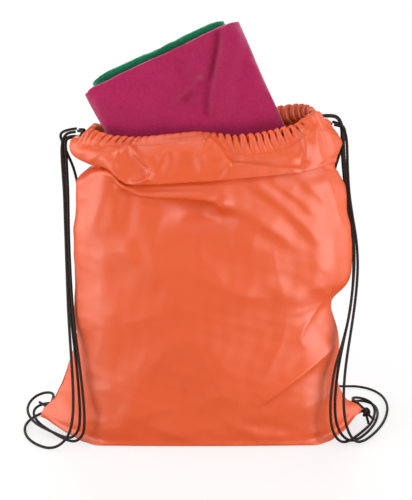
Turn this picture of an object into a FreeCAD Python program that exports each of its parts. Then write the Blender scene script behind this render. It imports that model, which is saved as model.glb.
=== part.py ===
"""Drawstring bag of plain woven cloth, standing full, with two folded fleece cloths in its mouth.

Millimetres, +Z up, +X to the bag's right as seen from its front, front towards -Y.
The origin is the middle of the flat underside that the bag stands on.
"""

import FreeCAD, Part

import math
import os

import Sketcher
from FreeCAD import Placement, Rotation, Vector

doc = FreeCAD.newDocument("drawstring_bag")

# ---------------------------------------------------------------- driving dimensions
SIZES = [
    ("cloth_thickness", 1.5, "wall of the bag cloth, with its coating and creases"),
    # the outline of the full bag at six levels, from the floor to the rim
    ("base_height", 0.0, "the underside that rests on the floor"),
    ("base_half_width", 128.0, ""),
    ("base_half_depth", 50.0, ""),
    ("base_corner", 22.0, ""),
    ("base_centre", 7.0, "the bag is a little fuller on its right"),
    ("base_tilt", 0.0, ""),
    ("low_height", 60.0, "where the filled bag has swelled above its foot"),
    ("low_half_width", 141.0, ""),
    ("low_half_depth", 55.0, ""),
    ("low_corner", 42.0, ""),
    ("low_centre", 9.0, ""),
    ("low_tilt", 0.0, ""),
    ("middle_height", 130.0, ""),
    ("middle_half_width", 146.0, ""),
    ("middle_half_depth", 57.0, ""),
    ("middle_corner", 45.0, ""),
    ("middle_centre", 11.0, ""),
    ("middle_tilt", 0.0, ""),
    ("belly_height", 210.0, "the fullest level"),
    ("belly_half_width", 147.0, ""),
    ("belly_half_depth", 56.0, ""),
    ("belly_corner", 45.0, ""),
    ("belly_centre", 13.0, ""),
    ("belly_tilt", 0.0, ""),
    ("neck_height", 297.0, "the waist under the slumped collar"),
    ("neck_half_width", 118.0, ""),
    ("neck_half_depth", 46.0, ""),
    ("neck_corner", 36.0, ""),
    ("neck_centre", 10.0, ""),
    ("neck_tilt", 8.0, "the collar leans forward and down to the left"),
    ("hem_height", 330.0, "the stitch line of the drawcord channel"),
    ("hem_half_width", 140.0, ""),
    ("hem_half_depth", 52.0, ""),
    ("hem_centre", 5.0, ""),
    ("hem_tilt", 8.0, ""),
    ("rim_height", 352.0, "the folded top edge"),
    ("rim_half_width", 125.0, ""),
    ("rim_half_depth", 46.0, ""),
    ("side_flat", 14.0, "half the flat side of the collar, where the cords come out"),
    ("rim_centre", -1.0, ""),
    ("rim_tilt", 11.4, ""),
    ("tilt_heading", -19.0, "direction of the tilt axis, about +Z from +X"),
    # the bottom corners, which stand out like ears where the side seams end
    ("left_ear_root", 120.0, "distance from the middle to the ear's root"),
    ("left_ear_top", 126.0, "height of the ear at its root"),
    ("left_ear_half_depth", 34.0, ""),
    ("left_ear_tip_height", 16.0, ""),
    ("right_ear_root", 125.0, ""),
    ("right_ear_top", 66.0, ""),
    ("right_ear_half_depth", 30.0, ""),
    ("right_ear_tip_height", 21.0, ""),
    ("ear_reach", 179.0, "distance from the middle to either tip"),
    ("ear_foot", 1.5, "height of the ear's lower edge at its root"),
    ("ear_tip_half_depth", 3.5, ""),
    ("ear_tip_half_height", 4.5, ""),
    ("ear_round", 3.0, "rounding of the ear's edges"),
    # sewing
    ("seam_allowance", 8.0, "width of cloth turned in at a seam"),
    ("seam_thickness", 2.0, "two layers and the overlock thread"),
    ("side_seam_foot", 30.0, "height where the side seams turn into the ears"),
    ("thread_width", 1.2, "visible width of the channel's stitching"),
    ("thread_relief", 0.5, "how far the stitching stands out"),
    ("thread_gap", 0.12, "free space between the stitching and the cloth it lies on"),
    # drawcord and its channel
    ("cord_diameter", 3.0, ""),
    ("cord_clearance", 1.4, "free space round the cord in its channel"),
    ("cord_turn", 6.0, "radius of the cord's turn out of the channel"),
    ("strap_spread", 2.2, "distance from the side seam to either strap strand"),
    ("loop_spread", 6.5, "distance from the side seam to either end of a loop"),
    ("exit_half_gap", 12.5, "half the slit between the two channels at each side"),
    ("lower_cord_share", 0.33, "height of the lower cord between stitch line and rim"),
    ("upper_cord_share", 0.67, "height of the upper cord"),
    ("hem_stitch_share", 0.06, "height of the stitching"),
    ("cord_space_low", 0.12, "where the channel's hollow starts, between stitch line and rim"),
    ("cord_space_high", 0.88, "where it ends"),
    ("cord_lead", 7.5, "straight piece of each strap strand beyond its exit"),
    ("loop_end_gap", 1.2, "free space where a loop turns on its exit"),
    ("knot_diameter", 11.0, ""),
    ("knot_gap", 0.3, "free space between the knot and the ear it bears on"),
    ("left_knot_inset", 6.0, "the left knot lies behind the ear, this far from its tip"),
    ("left_knot_lift", 4.0, "and this far above the tip's height"),
    ("stub_length", 9.0, "cut ends of the cord beyond the knot"),
    # folded fleece cloths
    ("pink_width", 173.0, "folded width"),
    ("pink_thickness", 23.0, "all its layers together"),
    ("pink_back", -3.0, "place of its back face"),
    ("pink_corner_x", -119.4, "upper left corner"),
    ("pink_corner_z", 378.6, ""),
    ("green_width", 150.0, ""),
    ("green_thickness", 22.0, ""),
    ("green_back", 20.0, ""),
    ("green_corner_x", -114.0, ""),
    ("green_corner_z", 389.5, ""),
    ("cloth_tilt", 25.5, "lean of both cloths from upright, towards the left"),
    ("cloth_wall_gap", 4.0, "from the cloths' right side to the side seam, above the knee"),
    ("cloth_foot_gap", 6.0, "from their right foot to the wall at the floor"),
    ("cloth_floor_gap", 0.3, "free space under the cloths"),
]

sheet = doc.addObject("Spreadsheet::Sheet", "Sizes")
for row, (alias, value, note) in enumerate(SIZES, start=1):
    sheet.set(f"A{row}", alias)
    sheet.set(f"B{row}", str(value))
    sheet.set(f"C{row}", note)
    sheet.setAlias(f"B{row}", alias)
doc.recompute()


def size(alias):
    """Value of one driving dimension, as a plain number."""
    return float(getattr(sheet, alias))


# ---------------------------------------------------------------- outlines
ROUND_ANGLES = ((180, 270), (270, 360), (0, 90), (90, 180))
ACROSS_X = Rotation(Vector(1, 1, 1), 120)  # lays a sketch in the YZ plane


def rounded_rectangle(name, half_width, half_height, corner, base, angle=None, turn=None):
    """Sketch of a rounded rectangle about its own origin; each size is an expression."""
    sketch = doc.addObject("Sketcher::SketchObject", name)
    w, d, r = 30.0, 20.0, 5.0
    centres = [Vector(-w + r, -d + r), Vector(w - r, -d + r), Vector(w - r, d - r), Vector(-w + r, d - r)]
    for centre, (start, end) in zip(centres, ROUND_ANGLES):
        circle = Part.Circle(centre, Vector(0, 0, 1), r)
        sketch.addGeometry(Part.ArcOfCircle(circle, math.radians(start), math.radians(end)))
    corners = [
        (Vector(-w + r, -d), Vector(w - r, -d)),
        (Vector(w, -d + r), Vector(w, d - r)),
        (Vector(w - r, d), Vector(-w + r, d)),
        (Vector(-w, d - r), Vector(-w, -d + r)),
    ]
    for start, end in corners:
        sketch.addGeometry(Part.LineSegment(start, end))
    rules = []
    for side in range(4):
        rules.append(Sketcher.Constraint("Tangent", side, 2, 4 + side, 1))
        rules.append(Sketcher.Constraint("Tangent", 4 + side, 2, (side + 1) % 4, 1))
        rules.append(Sketcher.Constraint("Horizontal" if side % 2 == 0 else "Vertical", 4 + side))
    rules += [Sketcher.Constraint("Equal", 0, other) for other in (1, 2, 3)]
    rules.append(Sketcher.Constraint("Symmetric", 0, 3, 2, 3, -1, 1))
    sketch.addConstraint(rules)
    for label, constraint in (
        ("half_width", Sketcher.Constraint("DistanceX", -1, 1, 5, 1, w)),
        ("half_height", Sketcher.Constraint("DistanceY", -1, 1, 6, 1, d)),
        ("corner", Sketcher.Constraint("Radius", 0, r)),
    ):
        sketch.renameConstraint(sketch.addConstraint(constraint), label)
    sketch.setExpression("Constraints.half_width", half_width)
    sketch.setExpression("Constraints.half_height", half_height)
    sketch.setExpression("Constraints.corner", corner)
    sketch.Placement = Placement(Vector(0, 0, 0), turn or Rotation())
    for axis, expression in zip("xyz", base):
        sketch.setExpression(f"Placement.Base.{axis}", expression)
    if angle:
        heading = math.radians(size("tilt_heading"))
        axis = Vector(math.cos(heading), math.sin(heading), 0)
        sketch.Placement = Placement(sketch.Placement.Base, Rotation(axis, 5.0))
        sketch.setExpression("Placement.Rotation.Angle", angle)
    return sketch


def between(lower, upper, share, part):
    """Expression for a size part of the way from one level to the next."""
    if share == "0":
        return f"Sizes.{lower}_{part}"
    return f"(Sizes.{lower}_{part} * (1 - ({share})) + Sizes.{upper}_{part} * ({share}))"


def outline(name, lower, upper="rim", share="0", inset="0", lift="0"):
    """The bag's outline at one level, moved inwards by inset and up by lift."""
    width, depth, centre, height, tilt = (
        between(lower, upper, share, part)
        for part in ("half_width", "half_depth", "centre", "height", "tilt")
    )
    corner = f"({depth} - Sizes.side_flat)" if lower == "hem" else f"Sizes.{lower}_corner"
    return rounded_rectangle(
        name,
        f"{width} - {inset}",
        f"{depth} - {inset}",
        f"{corner} - {inset}",
        (centre, "0", f"{height} + {lift}"),
        angle=tilt if lower in ("neck", "hem") else None,
    )


def loft(name, sections, ruled=False):
    """Solid through closed sections."""
    solid = doc.addObject("Part::Loft", name)
    solid.Sections = sections
    solid.Solid = True
    solid.Ruled = ruled
    return solid


def cut(name, base, tool):
    """What is left of base when tool is taken away."""
    result = doc.addObject("Part::Cut", name)
    result.Base = base
    result.Tool = tool
    return result


def common(name, *shapes):
    """The space that all the shapes share."""
    result = doc.addObject("Part::MultiCommon", name)
    result.Shapes = list(shapes)
    return result


def box(name, low, high):
    """Box between two corners, each coordinate an expression."""
    result = doc.addObject("Part::Box", name)
    for axis, side, start, end in zip("xyz", ("Length", "Width", "Height"), low, high):
        result.setExpression(f"Placement.Base.{axis}", start)
        result.setExpression(side, f"({end}) - ({start})")
    return result


WALL = "Sizes.cloth_thickness"
REACH = "Sizes.ear_reach * 2"
TALL = "Sizes.rim_height * 2"

front_half = box("front_half", (f"-{REACH}", f"-{REACH}", "-10"), (REACH, "0", TALL))
back_half = box("back_half", (f"-{REACH}", "0", "-10"), (REACH, REACH, TALL))
HALVES = {"front": front_half, "back": back_half}

# ---------------------------------------------------------------- bag cloth
BODY_LEVELS = ("base", "low", "middle", "belly", "neck", "hem")


def body_loft(name, inset, lift):
    """The bag's body from the floor to the stitch line, as one solid."""
    levels = [
        outline(f"{name}_{level}", level, inset=inset, lift=lift if level == "base" else "0")
        for level in BODY_LEVELS
    ]
    return loft(name, levels)


body_outer = body_loft("body_outer", "0", "0")
body_inner = body_loft("body_inner", WALL, WALL)
seam_inner = body_loft("seam_inner", f"({WALL} + Sizes.seam_allowance)", WALL)


def ear(side, sign):
    """A bottom corner: a wedge from inside the bag out to its tip."""
    root_half = f"(Sizes.{side}_ear_top - Sizes.ear_foot) / 2"
    root = rounded_rectangle(
        f"{side}_ear_root_outline",
        f"Sizes.{side}_ear_half_depth",
        root_half,
        "Sizes.ear_round",
        (f"{sign} * Sizes.{side}_ear_root", "0", f"Sizes.ear_foot + {root_half}"),
        turn=ACROSS_X,
    )
    tip = rounded_rectangle(
        f"{side}_ear_tip_outline",
        "Sizes.ear_tip_half_depth",
        "Sizes.ear_tip_half_height",
        "Sizes.ear_round",
        (f"{sign} * Sizes.ear_reach", "0", f"Sizes.{side}_ear_tip_height"),
        turn=ACROSS_X,
    )
    return loft(f"{side}_ear", [root, tip], ruled=True)


ears = [ear("left", -1), ear("right", 1)]
bag_form = doc.addObject("Part::MultiFuse", "bag_form")
bag_form.Shapes = [body_outer, *ears]
bag_shell = cut("bag_shell", bag_form, body_inner)
panels = [common(f"{side}_panel", bag_shell, half) for side, half in HALVES.items()]

# ---------------------------------------------------------------- seams inside the bag
seam_band = cut("seam_band", body_inner, seam_inner)
side_seams = []
for side, start, end in (("left", f"-{REACH}", "0"), ("right", "0", REACH)):
    slab = box(
        f"{side}_seam_slab",
        (start, "-Sizes.seam_thickness / 2", "Sizes.side_seam_foot"),
        (end, "Sizes.seam_thickness / 2", TALL),
    )
    side_seams.append(common(f"{side}_side_seam", seam_band, slab))

bottom_seam = box(
    "bottom_seam",
    ("Sizes.base_centre - Sizes.base_half_width + Sizes.base_corner", "-Sizes.seam_allowance", WALL),
    (
        "Sizes.base_centre + Sizes.base_half_width - Sizes.base_corner",
        "0",
        f"{WALL} + Sizes.seam_thickness / 2",
    ),
)

# ---------------------------------------------------------------- drawcord channels
CHANNEL_DEPTH = f"({WALL} * 2 + Sizes.cord_diameter + Sizes.cord_clearance)"


def hem_ring(name, outside, inside, low, high):
    """Ring that follows the collar between two shares of the channel's height."""
    rings = []
    for which, inset in (("outside", outside), ("inside", inside)):
        levels = [
            outline(f"{name}_{which}_{end}", "hem", "rim", share, inset)
            for end, share in (("low", low), ("high", high))
        ]
        rings.append(loft(f"{name}_{which}", levels, ruled=True))
    return cut(name, *rings)


hem_band = hem_ring("hem_band", "0", CHANNEL_DEPTH, "0", "1")
CORD_SPACE = ("Sizes.cord_space_low", "Sizes.cord_space_high")
cord_space = hem_ring("cord_space", WALL, f"({CHANNEL_DEPTH} - {WALL})", *CORD_SPACE)
exit_slit = box(
    "exit_slit",
    (f"-{REACH}", "-Sizes.exit_half_gap", "0"),
    (REACH, "Sizes.exit_half_gap", TALL),
)
hollow_band = cut("hollow_band", hem_band, cord_space)
open_band = cut("open_band", hollow_band, exit_slit)
channels = [common(f"{side}_channel", open_band, half) for side, half in HALVES.items()]

THREAD_FOOT = "Sizes.hem_stitch_share"
THREAD_TOP = f"{THREAD_FOOT} + Sizes.thread_width / (Sizes.rim_height - Sizes.hem_height)"
THREAD_SIDES = ("-1 * Sizes.thread_relief", "-1 * Sizes.thread_gap")
thread_ring = hem_ring("thread_ring", *THREAD_SIDES, THREAD_FOOT, THREAD_TOP)
open_thread = cut("open_thread", thread_ring, exit_slit)
stitching = [common(f"{side}_channel_stitching", open_thread, half) for side, half in HALVES.items()]


# ---------------------------------------------------------------- folded cloths
def origin_plane(body, role):
    """One of the body's own origin planes."""
    return next(plane for plane in body.Origin.OriginFeatures if plane.Role == role)


def folded_cloth(colour):
    """A folded cloth that leans in the bag: its foot on the floor, its side near the right wall."""
    body = doc.addObject("PartDesign::Body", f"{colour}_cloth")
    sketch = body.newObject("Sketcher::SketchObject", f"{colour}_cloth_face")
    sketch.AttachmentSupport = [(origin_plane(body, "XZ_Plane"), "")]
    sketch.MapMode = "FlatFace"
    sketch.setExpression("AttachmentOffset.Base.z", f"-1 * Sizes.{colour}_back")
    rough = [(-119, 379), (37, 452), (140, 238), (140, 60), (129, 2), (59, 2)]
    points = [Vector(x, z, 0) for x, z in rough]
    for start, end in zip(points, points[1:] + points[:1]):
        sketch.addGeometry(Part.LineSegment(start, end))
    top, right, upright, slant, foot, left = range(6)
    joined = [Sketcher.Constraint("Coincident", side, 2, (side + 1) % 6, 1) for side in range(6)]
    shape = [
        Sketcher.Constraint("Perpendicular", top, left),
        Sketcher.Constraint("Parallel", right, left),
        Sketcher.Constraint("Vertical", upright),
        Sketcher.Constraint("Horizontal", foot),
    ]
    sketch.addConstraint(joined + shape)
    wall = "Sizes.low_centre + Sizes.low_half_width - Sizes.cloth_thickness"
    wall_side = f"{wall} - Sizes.seam_allowance - Sizes.cloth_wall_gap"
    foot_side = "Sizes.base_centre + Sizes.base_half_width - Sizes.cloth_thickness - Sizes.cloth_foot_gap"
    floor = "Sizes.cloth_thickness + Sizes.seam_thickness / 2 + Sizes.cloth_floor_gap"
    named = (
        ("corner_x", Sketcher.Constraint("DistanceX", -1, 1, top, 1, -119.0), f"Sizes.{colour}_corner_x"),
        ("corner_z", Sketcher.Constraint("DistanceY", -1, 1, top, 1, 379.0), f"Sizes.{colour}_corner_z"),
        ("lean", Sketcher.Constraint("Angle", top, math.radians(25)), "Sizes.cloth_tilt * 1 deg"),
        ("width", Sketcher.Constraint("Distance", top, 170.0), f"Sizes.{colour}_width"),
        ("wall_side", Sketcher.Constraint("DistanceX", -1, 1, upright, 1, 149.0), wall_side),
        ("knee", Sketcher.Constraint("DistanceY", -1, 1, upright, 2, 70.0), "Sizes.low_height"),
        ("foot_side", Sketcher.Constraint("DistanceX", -1, 1, foot, 1, 129.0), foot_side),
        ("floor", Sketcher.Constraint("DistanceY", -1, 1, foot, 1, 2.0), floor),
    )
    for label, constraint, expression in named:
        sketch.renameConstraint(sketch.addConstraint(constraint), label)
        sketch.setExpression(f"Constraints.{label}", expression)
    pad = body.newObject("PartDesign::Pad", f"{colour}_cloth_layers")
    pad.Profile = sketch
    pad.setExpression("Length", f"Sizes.{colour}_thickness")
    return body


cloths = [folded_cloth("pink"), folded_cloth("green")]
doc.recompute()


# ---------------------------------------------------------------- drawcords
def add_shape(name, shape):
    """A sub-part whose shape is set directly."""
    feature = doc.addObject("Part::Feature", name)
    feature.Shape = shape
    return feature


def tube(name, wire):
    """Round cord along a smooth wire, with its volume compared with section times length."""
    radius = size("cord_diameter") / 2
    start = wire.OrderedEdges[0]
    heading = start.tangentAt(start.FirstParameter)
    circle = Part.Wire(Part.makeCircle(radius, start.valueAt(start.FirstParameter), heading))
    solid = wire.makePipeShell([circle], True, False)
    expected = math.pi * radius**2 * wire.Length
    print(f"{name}: length {wire.Length:.0f} mm, volume share {solid.Volume / expected:.4f}")
    return add_shape(name, solid)


def rounded_wire(name, points):
    """Straight runs joined by tangent arcs, each as large as its two runs allow."""
    points = [Vector(*point) for point in points]
    edges = []
    radii = []
    reached = points[0]
    for before, at, after in zip(points, points[1:], points[2:]):
        back = (before - at).normalize()
        on = (after - at).normalize()
        half_turn = (math.pi - back.getAngle(on)) / 2
        short = min(before.distanceToPoint(at), at.distanceToPoint(after))
        radius = 0.45 * short / math.tan(half_turn)
        start = at + back * 0.45 * short
        end = at + on * 0.45 * short
        bisector = (back + on).normalize()
        centre = at + bisector * (radius / math.cos(half_turn))
        middle = centre - bisector * radius
        edges.append(Part.LineSegment(reached, start).toShape())
        edges.append(Part.Arc(start, middle, end).toShape())
        radii.append(radius)
        reached = end
    edges.append(Part.LineSegment(reached, points[-1]).toShape())
    print(name, "radii", " ".join(f"{radius:.0f}" for radius in radii))
    return Part.Wire(edges)


def channel_frame(share):
    """Placement and half sizes of the line that a cord follows in the channels."""

    def at(part):
        return size(f"hem_{part}") * (1 - share) + size(f"rim_{part}") * share

    inset = size("cloth_thickness") + (size("cord_diameter") + size("cord_clearance")) / 2
    heading = math.radians(size("tilt_heading"))
    tilt = Rotation(Vector(math.cos(heading), math.sin(heading), 0), at("tilt"))
    place = Placement(Vector(at("centre"), 0, at("height")), tilt)
    corner = at("half_depth") - size("side_flat") - inset
    return place, at("half_width") - inset, at("half_depth") - inset, corner


def channel_exit(share, side, face, spread, gap=0.0):
    """Where a cord leaves the channels: side is -1 left or 1 right, face is -1 front or 1 back."""
    place, half_width, _, _ = channel_frame(share)
    return place.multVec(Vector(side * (half_width + size("cord_turn") + gap), face * spread, 0))


def channel_run(name, share, face, spreads):
    """One cord along one channel, turning out through the slit at both sides."""
    place, w, d, r = channel_frame(share)
    turn = size("cord_turn")
    slant = math.sqrt(0.5)
    edges = []
    for side, near in zip((-1, 1), spreads):
        half = [
            (Vector(w - r, d), Vector(w - r + r * slant, d - r + r * slant), Vector(w, d - r)),
            (Vector(w, d - r), Vector(w, near + turn)),
            (
                Vector(w, near + turn),
                Vector(w + turn - turn * slant, near + turn - turn * slant),
                Vector(w + turn, near),
            ),
        ]
        for corners in half if side > 0 else half[::-1]:
            points = [Vector(side * point.x, face * point.y, 0) for point in corners][::side]
            curve = Part.LineSegment(*points) if len(points) == 2 else Part.Arc(*points)
            edges.append(curve.toShape())
        if side < 0:
            along = Part.LineSegment(Vector(r - w, face * d, 0), Vector(w - r, face * d, 0))
            edges.append(along.toShape())
    wire = Part.Wire(edges)
    wire.Placement = place
    return tube(name, wire)


# Each drawcord runs through both channels. Its two ends are tied at one bottom corner, and
# its bight hangs as a loop from the other side. The one tied at the left lies lower.
LEFT_CORD = size("lower_cord_share")
RIGHT_CORD = size("upper_cord_share")
OWN_SPREAD = size("strap_spread")
LOOP_SPREAD = size("loop_spread")
cord_runs = []
for face, sign in (("front", -1), ("back", 1)):
    spreads = (OWN_SPREAD, LOOP_SPREAD)
    cord_runs.append(channel_run(f"left_drawcord_{face}_run", LEFT_CORD, sign, spreads))
    cord_runs.append(channel_run(f"right_drawcord_{face}_run", RIGHT_CORD, sign, spreads[::-1]))

# Where the cord hangs and lies free. The strap strands go from their exit down the side of
# the bag, over the floor and up to the knot at the ear.
RIGHT_STRAP_FRONT = [
    (146.6, -3.6, 349.6), (149.7, -4.4, 341), (150.4, -5, 326), (151.2, -5, 308), (153.5, -6.5, 286),
    (156.3, -8.5, 262), (159.6, -11, 238), (163.8, -15.5, 213), (164.7, -20.5, 188), (162.8, -26.8, 163),
    (158.8, -34, 138), (151.8, -42.4, 113), (144.1, -48, 90), (140.1, -53.5, 67), (138.6, -57.5, 45),
    (140.1, -59, 26), (146, -56.5, 11.5), (154.6, -48.5, 3.4), (165.2, -35, 1.8), (175.3, -19, 1.8),
    (184.9, -2, 1.8), (193, 14, 1.8), (198.6, 28, 4.6), (201.5, 40.5, 9.4), (199, 52, 14),
    (190.7, 57.6, 16.8), (181.3, 56.1, 19), (175.4, 48.6, 20.6), (176.4, 36.6, 22), (178.6, 25, 23),
    (181.6, 14.6, 23), (184.7, 6.15, 21.6),
]
RIGHT_STRAP_BACK = [
    (147.2, 1.9, 350.4), (151.2, 1.4, 342), (152.8, 0.6, 328), (153.8, 0, 309), (156, -1.5, 287),
    (159.2, -3.5, 262.5), (162.9, -6, 238), (166, -9, 213), (166.2, -13, 188), (164, -18.5, 163),
    (160, -26, 138), (153.8, -35, 113.5), (148.6, -42.5, 90.5), (145.2, -48.5, 68), (144, -52.5, 46.5),
    (145.6, -54, 28), (152.4, -52.4, 13), (162.6, -45.6, 4), (173.6, -32.4, 1.8), (183.8, -16, 1.8),
    (193.4, 4, 1.8), (201, 26, 1.8), (206, 48, 1.8), (207.5, 69, 1.8), (203, 86, 1.8), (192.5, 94.5, 1.8),
    (180.5, 90, 1.8), (173, 76, 2.6), (169.8, 58, 6.5), (169, 41, 14.5), (171, 27, 23.5),
    (175.5, 14.5, 29.5), (181.9, 3.9, 24.7),
]
RIGHT_LOOP = [
    (147.8, -8.2, 343), (152.4, -10, 338.4), (154.8, -11.2, 328.5), (155.6, -12, 313.5), (156.6, -12, 295),
    (158.4, -13.2, 272), (162.2, -14.8, 248), (167, -17, 223), (169, -20, 198), (168, -24.5, 173),
    (165, -31, 148.5), (160.8, -39, 124), (156.6, -46.5, 101), (153.6, -52.5, 78), (152.6, -57.5, 55),
    (154.2, -60.5, 34), (159.8, -59, 16.5), (168.3, -51.5, 5), (178.8, -38.5, 1.8), (189.4, -22, 1.8),
    (199.4, -2.5, 1.8), (208.5, 20, 1.8), (215.5, 44, 1.8), (220.5, 69, 1.8), (222, 94, 1.8),
    (219, 118, 1.8), (209.5, 137, 1.8), (195, 147.5, 1.8), (179, 145, 2.6), (165.5, 133.5, 6.5),
    (155.5, 117, 14), (148.3, 100, 26.5), (143.6, 86, 46), (141.2, 76.5, 71), (141.3, 71.5, 100),
    (141.9, 68.5, 132), (143.2, 66.5, 165), (143.6, 65.5, 198), (144.5, 63, 230), (146, 57.5, 260),
    (148.5, 48.5, 286), (153.1, 37.5, 307), (156.5, 25.5, 323.5), (156.4, 15.5, 335.5), (150.6, 9.2, 343),
]
LEFT_STRAP_FRONT = [
    (-143.6, -4.6, 323.6), (-142.6, -6, 312), (-142, -8, 294.5), (-141.2, -10.3, 272), (-141.2, -12.8, 248),
    (-141, -15.6, 223), (-140.2, -19, 198), (-139, -23.2, 173), (-137.2, -28.6, 148), (-134.4, -35.2, 123),
    (-130.8, -42.6, 99.5), (-127.6, -49.4, 77), (-125, -55, 55), (-123.8, -58, 34.5), (-125.2, -57.5, 17),
    (-133.5, -51.5, 6), (-144, -41.2, 3), (-155.5, -28.4, 3.2), (-166.6, -15, 4.2), (-177.4, -3, 6),
    (-186, 8.5, 8.8), (-190.8, 21, 11.6), (-190.5, 33.6, 13.8), (-184, 41.6, 15.6), (-174.4, 42.6, 17),
    (-167, 36, 18), (-167.2, 26.8, 18.2), (-172, 19.2, 17.8),
]
LEFT_STRAP_BACK = [
    (-146, 0.2, 325.6), (-146.4, -1.4, 316), (-145, -3.4, 299), (-143.6, -5.8, 275.5),
    (-143.2, -8.4, 250.5), (-143, -11.4, 225), (-142.6, -14.8, 199.5), (-141.8, -19, 174),
    (-140.2, -24.4, 149), (-137.8, -31, 124), (-134.4, -38.6, 100.5), (-131.8, -45.8, 78.5),
    (-129.8, -52, 57.5), (-128.8, -56, 37.5), (-130.4, -56, 20.5), (-138.6, -50.2, 9.6), (-148.6, -40, 6.6),
    (-159.6, -28.4, 6.6), (-171.2, -17.2, 7.4), (-183, -7, 9.2), (-192, 4.8, 12.6), (-197.4, 19, 16.4),
    (-197, 33.5, 20.4), (-191.5, 46, 24), (-181, 50.5, 27), (-171.4, 44.5, 28.6), (-168, 32, 27.6),
    (-170.9, 18, 22.9),
]
LEFT_LOOP = [
    (-138.8, -7.6, 335.6), (-143.4, -9.2, 332.6), (-146.4, -11.2, 325), (-146.8, -12.6, 313),
    (-145.8, -15, 294.5), (-144.4, -17.6, 272), (-144, -20.4, 248), (-143.4, -23.4, 223),
    (-142.8, -27, 198), (-142, -31.4, 173), (-141, -37, 148.5), (-139.4, -43.4, 124.5),
    (-137.6, -49.6, 101.5), (-136, -55.2, 79), (-135.2, -59.8, 56.5), (-136, -62.8, 35.5),
    (-140.4, -63.8, 17.5), (-150.5, -63.6, 6), (-162, -60.8, 1.8), (-173.6, -53.4, 1.8),
    (-183.4, -41.6, 1.8), (-191.4, -26.4, 1.8), (-196.4, -9, 1.8), (-198.6, 9.5, 1.8), (-196, 28, 1.8),
    (-189, 45, 1.8), (-178, 58.5, 1.8), (-165, 67.5, 4.5), (-153.2, 71.8, 15), (-144.5, 72.4, 33),
    (-138.4, 71, 56), (-136.6, 69, 83), (-136.1, 67.4, 113), (-135.7, 66.6, 145), (-135.4, 66.2, 178),
    (-135.2, 65, 210), (-135.7, 62, 241), (-137.5, 55.4, 268), (-140.7, 45.6, 290), (-146.3, 34, 308),
    (-149.9, 22.4, 321.5), (-151.7, 13.4, 332), (-142, 7.6, 337),
]


def strand(name, share, side, face, route):
    """A strap strand from its exit to the knot at the ear."""
    leads = [channel_exit(share, side, face, OWN_SPREAD, beyond) for beyond in (0.0, size("cord_lead"))]
    return tube(name, rounded_wire(name, [*leads, *route]))


def pull_loop(name, share, side, route):
    """A bight from the front channel's exit down and round to the back channel's exit."""
    front, back = (channel_exit(share, side, face, LOOP_SPREAD, size("loop_end_gap")) for face in (-1, 1))
    return tube(name, rounded_wire(name, [front, *route, back]))


strands = [
    strand("right_strap_front_strand", RIGHT_CORD, 1, -1, RIGHT_STRAP_FRONT),
    strand("right_strap_back_strand", RIGHT_CORD, 1, 1, RIGHT_STRAP_BACK),
    strand("left_strap_front_strand", LEFT_CORD, -1, -1, LEFT_STRAP_FRONT),
    strand("left_strap_back_strand", LEFT_CORD, -1, 1, LEFT_STRAP_BACK),
]
loops = [
    pull_loop("right_pull_loop", LEFT_CORD, 1, RIGHT_LOOP),
    pull_loop("left_pull_loop", RIGHT_CORD, -1, LEFT_LOOP),
]

# ---------------------------------------------------------------- knots at the ears
KNOT_RADIUS = "Sizes.knot_diameter / 2"
EAR_LENGTH = "(Sizes.ear_reach - Sizes.left_ear_root)"
LEFT_TAPER = "(Sizes.left_ear_half_depth - Sizes.ear_tip_half_depth)"
LEFT_EAR_BACK = f"(Sizes.ear_tip_half_depth + {LEFT_TAPER} * Sizes.left_knot_inset / {EAR_LENGTH})"
ALONG_TAPER = f"sqrt(1 + ({LEFT_TAPER} / {EAR_LENGTH})^2)"
KNOTS = {
    "left": (
        "-Sizes.ear_reach + Sizes.left_knot_inset",
        f"{LEFT_EAR_BACK} + (Sizes.knot_gap + {KNOT_RADIUS}) * {ALONG_TAPER}",
        "Sizes.left_ear_tip_height + Sizes.left_knot_lift",
    ),
    "right": (f"Sizes.ear_reach + Sizes.knot_gap + {KNOT_RADIUS}", "0", "Sizes.right_ear_tip_height"),
}
STUB_TURNS = {
    "left": (Rotation(Vector(1, 0, 0), -150), Rotation(Vector(-5, -8, 0), 71)),
    "right": (Rotation(Vector(1, 0.8, 0), 112), Rotation(Vector(1, 0.3, 0), 140)),
}


def placed(primitive, middle):
    """Binds a primitive's place to the knot's middle."""
    for axis, expression in zip("xyz", middle):
        primitive.setExpression(f"Placement.Base.{axis}", expression)
    return primitive


def knot(side):
    """The knot that ties both strands of one drawcord, with its two cut ends."""
    middle = KNOTS[side]
    ball = placed(doc.addObject("Part::Sphere", f"{side}_knot_ball"), middle)
    ball.setExpression("Radius", KNOT_RADIUS)
    pieces = [ball]
    for number, turn in enumerate(STUB_TURNS[side]):
        stub = doc.addObject("Part::Cylinder", f"{side}_knot_stub_{number}")
        stub.Placement = Placement(Vector(0, 0, 0), turn)
        stub.setExpression("Radius", "Sizes.cord_diameter / 2")
        stub.setExpression("Height", f"{KNOT_RADIUS} + Sizes.stub_length")
        pieces.append(placed(stub, middle))
    tied = doc.addObject("Part::MultiFuse", f"{side}_corner_knot")
    tied.Shapes = pieces
    return tied


knots = [knot("left"), knot("right")]

NODES = [
    *panels, *side_seams, bottom_seam, *channels, *stitching,
    *cord_runs, *strands, *loops, *knots, *cloths,
]

# ---------------------------------------------------------------- checks and files
doc.recompute()
for item in doc.Objects:
    if {"Invalid", "Error"} & set(item.State):
        raise RuntimeError(f"{item.Label} failed: {item.State}")
for node in NODES:
    shape = node.Shape
    if shape.isNull() or not shape.isValid() or not shape.Solids:
        raise RuntimeError(f"{node.Label} has no valid solid")
    print(f"{node.Label}: {len(shape.Solids)} solid(s), {shape.Volume / 1000:.1f} cm3")

os.makedirs("parts", exist_ok=True)
for node in NODES:
    node.Shape.exportStep(f"parts/{node.Label}.step")
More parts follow.
